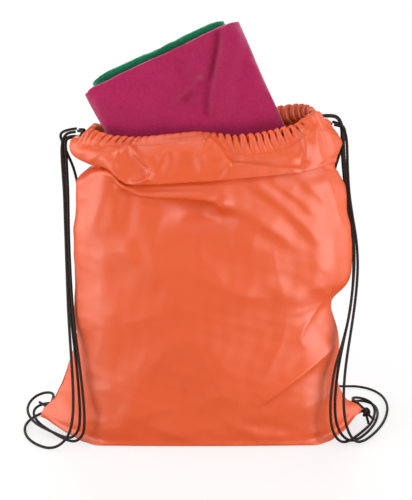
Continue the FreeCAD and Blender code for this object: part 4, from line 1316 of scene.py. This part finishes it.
@dataclass
class ClothShape:
    """The shape of one of the two cloths, as a grid of points in millimetres."""

    face: Face
    pitch: float = 7.4  # from one gather to the next
    grid: np.ndarray | None = None
    place: np.ndarray | None = None  # each row's place between the levels
    levels: dict = field(default_factory=dict)  # the level numbers by name

    def build(self) -> "ClothShape":
        """Shapes the cloth: its levels first, then its folds and gathers.

        Returns:
            This shape, finished.
        """
        stations = self.stations()
        rings = np.array([station.ring(self.face) for station in stations])
        self.levels = {station.name: number for number, station in enumerate(stations)}
        steps = []
        for number in range(len(rings) - 1):
            gap = np.linalg.norm(rings[number + 1] - rings[number], axis=1)
            steps.append(max(2, round(float(np.percentile(gap, 70)) / self.spacing(number))))
        self.grid = catmull_rows(rings, steps)
        parts = [number + np.arange(count) / count for number, count in enumerate(steps)]
        self.place = np.concatenate([*parts, [len(rings) - 1.0]])
        self.crease()
        self.gather()
        return self

    def stations(self) -> list:
        """All levels of the cloth, from the bottom seam to the end of the turned hem.

        Returns:
            The levels in order.
        """
        if self.face is Face.FRONT:
            return [*UNDERSIDE, *FRONT_BODY, *FRONT_COLLAR]
        return [*UNDERSIDE, *BACK_BODY, *BACK_COLLAR]

    def spacing(self, number: int) -> float:
        """Distance between rows above a level: finest in the collar, widest underneath.

        Args:
            number: the level.

        Returns:
            The distance in millimetres.
        """
        if number >= self.levels["hollow"]:
            return 1.15
        return 1.85 if number >= self.levels["base"] else 4.0

    def outward(self) -> np.ndarray:
        """Unit vectors out of the bag at every point."""
        return grid_normals(self.grid, closed=False) * -self.face.value

    def row(self, level: str, past: float = 0.0) -> int:
        """Number of the row nearest to a level, or to a place past it."""
        return int(np.argmin(np.abs(self.place - (self.levels[level] + past))))

    def between(self, low: str, high: str) -> np.ndarray:
        """For each row, 0 up to one level and 1 from another."""
        return smooth_step(self.levels[low], self.levels[high], self.place)

    def crease(self) -> None:
        """Presses the soft folds into the cloth, along its normals."""
        normal = self.outward()
        flat = self.grid[..., [0, 2]]
        facing = np.clip(normal[..., 1] * self.face.value, 0, 1) ** 0.5
        body = self.between("base", "foot") * (1 - self.between("second_fold", "tuck"))
        collar = self.between("tuck_top", "lip_front") * (1 - 0.8 * self.between("stitch", "rim"))
        turned_in = 0.2 * (self.place < self.levels["inner_hem"])
        collar = np.where(self.place > self.levels["rim"], turned_in, collar)
        push = np.zeros(self.grid.shape[:2])
        if self.face is Face.FRONT:
            for folds, rows in ((BODY_CREASES, body), (COLLAR_CREASES, collar)):
                for fold in folds:
                    push += fold.field(flat) * rows[:, None] * facing
        else:
            push += self.back_pleats(flat) * (body + 0.7 * collar)[:, None] * facing
        push += self.swells() * np.maximum(body, collar)[:, None]
        self.grid = self.grid + normal * push[..., None]

    def back_pleats(self, flat: np.ndarray) -> np.ndarray:
        """Pleats that run down from the back's waist and up into its collar.

        Args:
            flat: the cloth's points as (x, z).

        Returns:
            The outward displacement of each point, in millimetres.
        """
        x, z = flat[..., 0], flat[..., 1]
        below = np.clip(300 - z, 0, None)
        push = np.zeros(x.shape)
        for centre, lean, size, width in BACK_PLEATS:
            offset = (x - (centre - lean * below)) / (width * (1 + below / 90.0))
            push += size * np.exp(-((below / 70.0) ** 2)) * np.exp(-(offset**2))
        return push

    def swells(self) -> np.ndarray:
        """Broad, shallow swells all over the filled cloth.

        Returns:
            The outward displacement of each point, in millimetres.
        """
        x, y, z = self.grid[..., 0], self.grid[..., 1], self.grid[..., 2]
        first = np.sin(x / 23.0 + z / 37.0 + 1.1 * np.sin(z / 29.0))
        first += np.sin(z / 27.0 - x / 41.0 + 1.3 * np.sin(x / 33.0))
        second = np.sin(x / 13.0 - z / 19.0 + 1.4 * np.sin(z / 17.0 + 1.0))
        second += np.sin(z / 15.0 + x / 31.0 + 2.0)
        return (
            1.1 - 1.1 * np.sqrt(first**2 + 0.002) - 0.45 * np.sqrt(second**2 + 0.004)
            + 0.7 * np.sin(x / 19.0 + z / 31.0 + 0.6) * np.sin(z / 23.0 - x / 47.0 + 1.3)
            + 0.45 * np.sin(x / 9.7 - z / 14.0 + 2.1 + y / 21.0) * np.sin(z / 17.0 + 0.4)
            + 0.16 * np.sin(x / 4.1 + z / 6.3 + np.sin(z / 11.0)) * np.sin(z / 5.2 - x / 8.3)
        )

    def gather(self) -> None:
        """Puckers the channel where the cords draw it together."""
        front = self.face is Face.FRONT
        top_row = self.grid[self.row("rim")]
        run = run_along(top_row)
        chance = np.random.default_rng(11 if front else 23)
        edges = np.cumsum(self.pitch * chance.uniform(0.72, 1.3, 80))
        edges = run[np.searchsorted(run, edges[edges < run[-1]])]
        turns = np.interp(run, np.concatenate([[0.0], edges]), np.arange(len(edges) + 1.0))
        deep = np.interp(turns, np.arange(82), chance.uniform(0.65, 1.25, 82))
        wave = np.abs(np.sin(np.pi * turns)) ** 0.5 - 0.66
        size = along(FRONT_GATHERS if front else BACK_GATHERS, top_row[:, 0])
        size = size * smooth_step(11.0, 18.0, np.abs(top_row[:, 1]))
        to_edge = np.abs(run[:, None] - edges[None, :]).min(axis=1)
        slit = np.exp(-((to_edge / 0.9) ** 2)) * np.clip(size - 1.4, 0, 3.0)
        collar_top, stitch, hem, rim, inner_rim, inner_hem, hem_end = (
            self.levels[name]
            for name in ("collar_top", "stitch", "hem", "rim", "inner_rim", "inner_hem", "hem_end")
        )
        pucker = np.interp(
            self.place,
            [collar_top - 0.6, stitch - 0.25, stitch, hem, rim, inner_rim, inner_hem, hem_end],
            [0.0, 0.14, 0.10, 0.42, 0.85, 0.85, 0.5, 0.2],
        )
        notch = np.interp(
            self.place,
            [stitch + 0.35, hem, hem + 0.5, rim, inner_rim, inner_hem],
            [0.0, 0.35, 1.0, 1.0, 0.9, 0.0],
        )
        lift = np.interp(self.place, [hem, rim, inner_hem], [0.0, 1.0, 0.0])
        normal = self.outward()
        grid = self.grid + normal * (size * deep * wave)[None, :, None] * pucker[:, None, None]
        grid = grid - normal * (1.9 * slit * deep)[None, :, None] * notch[:, None, None]
        grid[..., 2] += 0.5 * (size * deep * wave)[None, :] * lift[:, None]
        grid[..., 2] = np.maximum(grid[..., 2], 0.25)
        self.grid = grid


# Where each drawcord leaves the channels at the left and right, in millimetres.
EXITS = {
    "left": ((-134.14, 0.0, 330.2), (140.2, 0.0, 344.4)),
    "right": ((-131.0, 0.0, 337.1), (133.0, 0.0, 352.5)),
}
# How far a run stops short of the exit where its cord becomes a pull loop, so that the loop swings free.
LOOP_CLEARANCE = 1.2


@dataclass
class BagCloth:
    """The bag's front and back cloths, their channels, seams and stitching."""

    material: bpy.types.Material
    thread: bpy.types.Material
    cord: bpy.types.Material
    shapes: dict = field(default_factory=dict)

    def build(self) -> None:
        """Makes the two cloths and everything sewn to them."""
        for face in Face:
            name = face.name.lower()
            shape = self.shapes[face] = ClothShape(face).build()
            cloth = self.cloth_object(f"{name}_panel_cloth", shape)
            dress(cloth, self.material, "bag_cloth", Body.BAG, f"{name}_panel", f"{name}_channel")
            self.stitching(name, shape)
        self.runs()
        self.seams()

    def cloth_object(self, name: str, shape: ClothShape) -> bpy.types.Object:
        """Turns a shape into one cloth, with its cut coordinates in metres.

        Args:
            name: name of the piece.
            shape: the cloth's shape.

        Returns:
            The new piece.
        """
        rows, columns = shape.grid.shape[:2]
        steps = np.linalg.norm(np.diff(shape.grid, axis=0), axis=2).mean(axis=1)
        run = np.concatenate([[0.0], np.cumsum(steps)]) * MM
        u = np.broadcast_to(np.linspace(0, FLAT_WIDTH, columns), (rows, columns))
        v = np.broadcast_to(run[:, None], (rows, columns))
        faces = grid_faces(rows, columns, closed=False)
        corners = grid_corners(u, v)
        if shape.face is Face.BACK:
            faces = [quad[::-1] for quad in faces]
            corners = corners.reshape(-1, 4, 2)[:, ::-1].reshape(-1, 2)
        return mesh_object(name, shape.grid.reshape(-1, 3) * MM, faces, corners)

    def stitching(self, name: str, shape: ClothShape) -> None:
        """Sews the dashes of thread that close the channel.

        Args:
            name: front or back.
            shape: the cloth's shape.
        """
        row = shape.row("stitch", 0.12)
        line = shape.grid[row] + shape.outward()[row] * 0.12
        run = run_along(line)
        starts = np.arange(14.0, run[-1] - 14.0, 3.3)
        parts = (0.0, 0.55, 1.2, 1.85, 2.4)
        places = [[np.interp(starts + part, run, line[:, k]) for k in range(3)] for part in parts]
        spine = np.transpose(np.array(places), (2, 0, 1))
        stitch = beads(f"{name}_hem_stitches", spine * MM, 0.00034, (0.25, 0.9, 1.0, 0.9, 0.25))
        dress(stitch, self.thread, "stitching", Body.BAG, f"{name}_channel_stitching")

    def runs(self) -> None:
        """Threads both drawcords through the two channels."""
        for side, share, spreads in (("left", 0.33, (2.2, 6.5)), ("right", 0.67, (6.5, 2.2))):
            for face, shape in self.shapes.items():
                line = self.run_line(shape, share, EXITS[side], spreads)
                name = face.name.lower()
                piece = tube(f"{side}_drawcord_in_{name}", line * MM, DIAMETER / 2, sides=10)
                dress(piece, self.cord, "cord", Body.BAG, f"{side}_drawcord_{name}_run")

    def run_line(self, shape: ClothShape, share: float, exits: tuple, spreads: tuple) -> np.ndarray:
        """Centre line of one drawcord in one channel, from its left exit to its right one.

        Args:
            shape: the shape of the cloth whose channel it is.
            share: how far up the channel the cord lies.
            exits: where the cord leaves the channels, at the left and at the right.
            spreads: the line's distance from the seam at each exit; the wider one starts a pull loop.

        Returns:
            The points in millimetres.
        """
        outer = shape.row("stitch", 2 * share)
        inner = shape.row("hem_end", -2 * share - 0.1)
        middle = 0.5 * (shape.grid[outer] + shape.grid[inner])
        middle = resample(middle[np.abs(middle[:, 1]) > 15.0], 28)
        out = shape.face.value
        start, finish = np.array(exits)
        start[1], finish[1] = out * spreads[0], out * spreads[1]
        start[0] += LOOP_CLEARANCE * (spreads[0] > spreads[1])
        finish[0] -= LOOP_CLEARANCE * (spreads[1] > spreads[0])
        lead = [start, start + (5.0, out * 1.6, 0.0), start + (6.6, out * 6.0, -0.2)]
        tail = [finish + (-6.6, out * 6.0, -0.2), finish + (-5.0, out * 1.6, 0.0), finish]
        line = resample(np.array([*lead, *middle, *tail]), 320)
        smooth_line(line, 30)
        return line

    def seams(self) -> None:
        """Adds the seam allowances, which stand inward at the sides and along the bottom."""
        shape = self.shapes[Face.FRONT]
        foot, top = shape.row("shin"), shape.row("stitch", -0.6)
        for name, column, inward in (("left_side_seam", 0, 1.0), ("right_side_seam", -1, -1.0)):
            edge = resample(shape.grid[foot:top, column], 180)
            self.allowance(name + "_edge", edge, np.array([inward, 0.0, 0.0]), name)
        bottom = shape.grid[0]
        between_ears = bottom[(bottom[:, 0] > -112) & (bottom[:, 0] < 126)]
        edge = resample(between_ears, 160) + (0.0, 0.0, 0.35)
        self.allowance("bottom_seam_edge", edge, np.array([0.0, -1.0, 0.12]), "bottom_seam")

    def allowance(self, name: str, edge: np.ndarray, inward: np.ndarray, node: str) -> None:
        """Makes one turned-in seam allowance: two layers with an overlocked edge.

        Args:
            name: name of the piece.
            edge: the seam line, in millimetres.
            inward: direction in which the allowance stands.
            node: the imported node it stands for.
        """
        along_edge = np.gradient(edge, axis=0)
        along_edge /= np.linalg.norm(along_edge, axis=1, keepdims=True)
        thick = np.cross(along_edge, inward)
        thick /= np.linalg.norm(thick, axis=1, keepdims=True)
        run = np.arange(len(edge))
        ripple = 0.35 * np.sin(run * 0.55) + 0.25 * np.sin(run * 0.21 + 1.0)
        upper = [(0.4, 0.5), (3.0, 0.55), (5.5, 0.6), (6.8, 0.9), (7.6, 0.7)]
        tip = (7.9, 0.0)
        outline = [*upper, tip, *((reach, -half) for reach, half in upper[::-1])]
        sway = ripple[:, None] / tip[0]
        lines = [edge + inward * reach + thick * (half + sway * reach) for reach, half in outline]
        rings = np.stack(lines, axis=1)
        rows, sides = rings.shape[:2]
        length = run_along(edge) * MM
        u = np.broadcast_to(np.arange(sides + 1) * 0.0015, (rows, sides + 1))
        v = np.broadcast_to(length[:, None], (rows, sides + 1))
        faces = grid_faces(rows, sides, closed=True)
        faces += [tuple(range(sides))[::-1], tuple((rows - 1) * sides + k for k in range(sides))]
        corners = np.concatenate([grid_corners(u, v), np.zeros((2 * sides, 2))])
        piece = mesh_object(name, rings.reshape(-1, 3) * MM, faces, corners)
        face_outwards(piece)
        dress(piece, self.material, "bag_cloth", Body.BAG, node)


def beads(name: str, spines: np.ndarray, radius: float, sizes: tuple) -> bpy.types.Object:
    """Makes many short rounded threads as one object.

    Args:
        name: name of the piece.
        spines: for each thread, the points along it.
        radius: half the thread's thickness.
        sizes: share of the radius at each point.

    Returns:
        The new object.
    """
    sides = 6
    turn = 2 * np.pi * np.arange(sides) / sides
    points, faces = [], []
    for spine in spines:
        tangent = spine[-1] - spine[0]
        tangent /= np.linalg.norm(tangent)
        across = np.cross(tangent, (0.0, 0.0, 1.0))
        across /= np.linalg.norm(across)
        up = np.cross(across, tangent)
        start = len(points) * len(sizes) * sides
        ring = np.cos(turn)[:, None] * across + np.sin(turn)[:, None] * up
        rings = np.array([place + radius * size * ring for place, size in zip(spine, sizes)])
        points.append(rings.reshape(-1, 3))
        faces += [tuple(start + k for k in quad) for quad in grid_faces(len(sizes), sides, closed=True)]
        last = start + (len(sizes) - 1) * sides
        faces += [tuple(start + k for k in range(sides))[::-1], tuple(last + k for k in range(sides))]
    corners = np.zeros((sum(len(f) for f in faces), 2))
    return mesh_object(name, np.concatenate(points), faces, corners)


# ---------------------------------------------------------------- folded fleece cloths
# Down to EVEN_ROWS, in millimetres, a bundle's rows are evenly spaced. From there to LAST_ROW they are
# stretched, so that every point reaches the bag's wall or floor.
EVEN_ROWS = 150.0
LAST_ROW = 1000.0
HALF_TURNS = 6  # how often a bundle is folded over
EDGE_ROWS = 5  # rows of each layer's rounded top edge


@dataclass
class FoldedCloth:
    """A fleece cloth folded over and over into a flat bundle, leaning in the bag's mouth."""

    name: str
    body: Body
    material: bpy.types.Material
    width: float
    thickness: float
    back: float  # y of the bundle's back
    corner: tuple  # (x, z) of its top left corner
    fabric: float = 2.9  # thickness of one layer
    pitch: float = 3.35  # from one layer to the next
    lean: float = math.radians(25.5)
    wall: float = 134.0  # x of the bag's right wall
    floor: float = 3.2  # z of the bag's floor
    creases: tuple = ()
    seed: float = 0.0
    roll: float = 0.0  # how far the bundle stands back below its top edge

    def build(self) -> None:
        """Makes the bundle and draws it in place of the imported cloth."""
        section = self.section()
        line = self.spaced(section)
        tangent = np.gradient(line, axis=0)
        tangent /= np.linalg.norm(tangent, axis=1, keepdims=True)
        normal = np.stack([tangent[:, 1], -tangent[:, 0]], axis=1)
        down, half = self.rows()
        outer, inner = (
            self.placed(line[None] + offset[:, None, None] * normal[None], down, line)
            for offset in (half, -half)
        )
        loop = np.concatenate([outer, inner[:, ::-1]], axis=1)
        faces = self.faces(len(down), len(line))
        piece = mesh_object(self.name + "_fleece", loop.reshape(-1, 3) * MM, faces)
        face_outwards(piece)
        dress(piece, self.material, self.name + "_fleece", self.body, self.name + "_cloth")

    def section(self) -> np.ndarray:
        """Centre line of the bundle's section, wound from its outer layer inwards.

        Returns:
            Points in millimetres: across the width, and through the thickness.
        """
        radius = self.thickness / 2 - self.fabric / 2 - 0.3
        left, right = radius + self.fabric / 2, self.width - radius - self.fabric / 2 + self.pitch / 2
        points = [(0.62 * self.width, radius)]
        for half_turn in range(HALF_TURNS):
            size = radius - half_turn * self.pitch / 2
            middle, centre, way = (right, -self.pitch / 2, -1.0) if half_turn % 2 else (left, 0.0, 1.0)
            for turn in np.linspace(0, np.pi, 13):
                across = middle - way * size * math.sin(turn)
                points.append((across, centre + way * size * math.cos(turn)))
        points.append((0.55 * self.width, points[-1][1]))
        return np.array(points)

    def spaced(self, section: np.ndarray) -> np.ndarray:
        """Spreads points along the section, closest on its outer layer, and softens its turns.

        Args:
            section: the section's centre line.

        Returns:
            The new points, in the same layout.
        """
        run = run_along(section)
        spacing = np.where(run < 0.42 * run[-1], 2.2, 3.4)
        places = [0.0]
        while places[-1] < run[-1]:
            places.append(places[-1] + float(np.interp(places[-1], run, spacing)))
        places[-1] = run[-1]
        line = np.stack([np.interp(places, run, section[:, k]) for k in range(2)], axis=1)
        for _ in range(2):
            line[1:-1] = 0.25 * line[:-2] + 0.5 * line[1:-1] + 0.25 * line[2:]
        return line

    def rows(self) -> tuple[np.ndarray, np.ndarray]:
        """Rows from the rounded top edge down.

        Returns:
            Each row's distance from the top edge, and half the layer's thickness there.
        """
        edge = np.linspace(0.25, np.pi / 2, EDGE_ROWS)
        down = np.concatenate([
            self.fabric / 2 * (1 - np.cos(edge)),
            np.arange(self.fabric / 2 + 1.6, EVEN_ROWS, 2.3),
            np.linspace(EVEN_ROWS + 2.0, LAST_ROW, 44),
        ])
        half = np.full(len(down), self.fabric / 2)
        half[:EDGE_ROWS] = self.fabric / 2 * np.sin(edge)
        return down, half

    def faces(self, rows: int, columns: int) -> list:
        """Faces of the wound layer: its two sides, and its edges at the top and the bottom.

        Args:
            rows: how many rows of points there are.
            columns: points of each side in a row.

        Returns:
            Four vertex numbers for each face.
        """
        faces = grid_faces(rows, 2 * columns, closed=True)
        for start in (0, (rows - 1) * 2 * columns):
            end = start + 2 * columns
            for k in range(columns - 1):
                quad = (start + k, start + k + 1, end - 2 - k, end - 1 - k)
                faces.append(quad if start else quad[::-1])
        return faces

    def placed(self, surface: np.ndarray, down: np.ndarray, line: np.ndarray) -> np.ndarray:
        """Lays one side of the layer in the bag, leaning, with its folds and softness.

        Args:
            surface: across the width and through the thickness, for each row and point.
            down: each row's distance from the top edge.
            line: the section's centre line.

        Returns:
            Points in millimetres.
        """
        right = (math.cos(self.lean), math.sin(self.lean))
        fall = (math.sin(self.lean), -math.cos(self.lean))
        across, through = surface[..., 0], surface[..., 1]
        depth = self.depths(down, line, right, fall)
        x = self.corner[0] + across * right[0] + depth * fall[0]
        z = self.corner[1] + across * right[1] + depth * fall[1]
        y = self.back - self.thickness / 2 + through
        front = np.clip(-through / (self.thickness / 2), 0, 1) ** 1.5
        soft = 0.12 * np.sin(x / 1.7 + z / 2.3) * np.sin(z / 1.9 - x / 2.9 + y)
        y = y - self.folds(x, z) * front - soft
        back = np.clip(through / (self.thickness / 2), 0, 1) ** 1.5
        y = y + back * (0.4 * np.sin(x / 15.0 + 2.0) * np.sin(z / 21.0) - 0.4)
        y = y + self.roll * smooth_step(4.5, 11.0, depth)
        near_top = 1.0 - smooth_step(10.0, 75.0, depth)
        x = x - 3.4 * np.exp(-((across / 45.0) ** 2)) * near_top
        x = x + 1.8 * smooth_step(0.6, 1.0, across / self.width) * near_top
        return np.stack([x, y, z], axis=-1)

    def depths(self, down: np.ndarray, line: np.ndarray, right: tuple, fall: tuple) -> np.ndarray:
        """How far each point lies below the top edge, which dips softly.

        Args:
            down: each row's distance from the top edge.
            line: the section's centre line.
            right: direction along the top edge, in (x, z).
            fall: direction down the bundle, in (x, z).

        Returns:
            The distance for each row and point.
        """
        edge = line[:, 0]
        reach = np.minimum(
            (self.wall - self.corner[0] - edge * right[0]) / fall[0],
            (self.corner[1] + edge * right[1] - self.floor) / -fall[1],
        )
        reach = np.clip(reach, 200.0, None)
        share = np.clip((down - EVEN_ROWS) / (LAST_ROW - EVEN_ROWS), 0.0, 1.0)[:, None]
        stretched = EVEN_ROWS + share * (reach[None] - EVEN_ROWS)
        depth = np.where(down[:, None] <= EVEN_ROWS, down[:, None], stretched)
        dip = 3.4 * np.exp(-((edge / 7.0) ** 2)) + 2.2 * np.exp(-(((self.width - edge) / 8.0) ** 2))
        dip = dip + 0.7 * np.sin(edge / 13.0 + self.seed)
        dip = dip + 0.5 * np.sin(edge / 5.1 + 2.0 * self.seed + line[:, 1])
        dip = dip + 0.35 * (np.abs(line[:, 1]) < self.thickness / 2 - 4.5)
        return depth + np.maximum(dip + 0.4, 0.0)[None] * np.exp(-down[:, None] / 26.0)

    def folds(self, x: np.ndarray, z: np.ndarray) -> np.ndarray:
        """How far the folds stand out of the bundle's front.

        Args:
            x: the places' x, in millimetres.
            z: their z.

        Returns:
            The distance at each place, in millimetres.
        """
        flat = np.stack([x, z], axis=-1)
        push = np.zeros(x.shape)
        for crease in self.creases:
            push += crease.field(flat)
        push += 0.45 * np.sin(x / 14.0 + self.seed) * np.sin(z / 17.0 + 1.0)
        push += 0.2 * np.sin(x / 6.0 - z / 9.0)
        return push


PINK_CREASES = (
    Ridge(((25, 457), (23, 436), (21.5, 418), (17, 398), (12.5, 374), (12, 345)),
          6.0, 15.0, 5.0, (0.16, 0.2), 1.8),
    Ridge(((13, 454), (12, 436), (10, 420), (3, 403), (-3, 396)), 3.6, 5.0, 12.0, (0.2, 0.3), 1.8),
    Crease(((18, 452), (16, 428), (13, 405), (9, 380), (6, 340)), -4.6, 5.6, 0.0, 1.0, (0.16, 0.2)),
    Ridge(((6, 408), (-1, 397), (-8, 386), (-18, 376), (-34, 370)), 5.0, 5.0, 14.0, (0.2, 0.4), 2.2),
    Crease(((4, 398), (-5, 384), (-16, 373), (-34, 364)), -4.4, 6.0, 0.0, 1.0, (0.2, 0.4)),
    Crease(((46, 412), (60, 405), (74, 398)), 2.4, 4.5, 1.4, 1.0, (0.3, 0.3)),
    Crease(((-112, 372), (-84, 366), (-60, 358)), 3.0, 11.0, 0.0, 1.0, (0.2, 0.4)),
    Crease(((38, 450), (34, 420), (26, 392), (30, 345)), 3.0, 9.0, 1.2, 1.0, (0.1, 0.2)),
    Crease(((-60, 408), (-40, 384), (-50, 345)), 3.0, 15.0, 1.6, 1.0, (0.2, 0.2)),
    Crease(((-18, 428), (-22, 400), (-14, 372), (-8, 345)), -3.4, 10.0, 0.0, 1.0, (0.3, 0.3)),
    Crease(((60, 380), (74, 366), (92, 352)), -3.0, 8.0, 0.0, 1.0, (0.3, 0.1)),
)


def main() -> None:
    """Builds the whole bag, the studio first."""
    logging.basicConfig(level=logging.INFO, format="%(message)s")
    Studio().build()
    cord = CordFinish().material()
    Drawcords(cord).build()
    bag = BagClothFinish().material()
    thread = ThreadFinish().material()
    BagCloth(bag, thread, cord).build()
    pink = FleeceFinish(
        "pink_fleece", (0.27, 0.006, 0.052, 1.0), (0.40, 0.016, 0.090, 1.0), (1.0, 0.50, 0.72, 1.0)
    ).material()
    green = FleeceFinish(
        "green_fleece", (0.004, 0.13, 0.055, 1.0), (0.012, 0.27, 0.13, 1.0), (0.6, 1.0, 0.8, 1.0)
    ).material()
    FoldedCloth("pink", Body.PINK, pink, 173.0, 23.0, -3.0, (-119.4, 379.8), creases=PINK_CREASES).build()
    FoldedCloth("green", Body.GREEN, green, 150.0, 22.0, 20.0, (-114.0, 390.0), seed=1.7, roll=5.0).build()


if __name__ == "__main__":
    main()
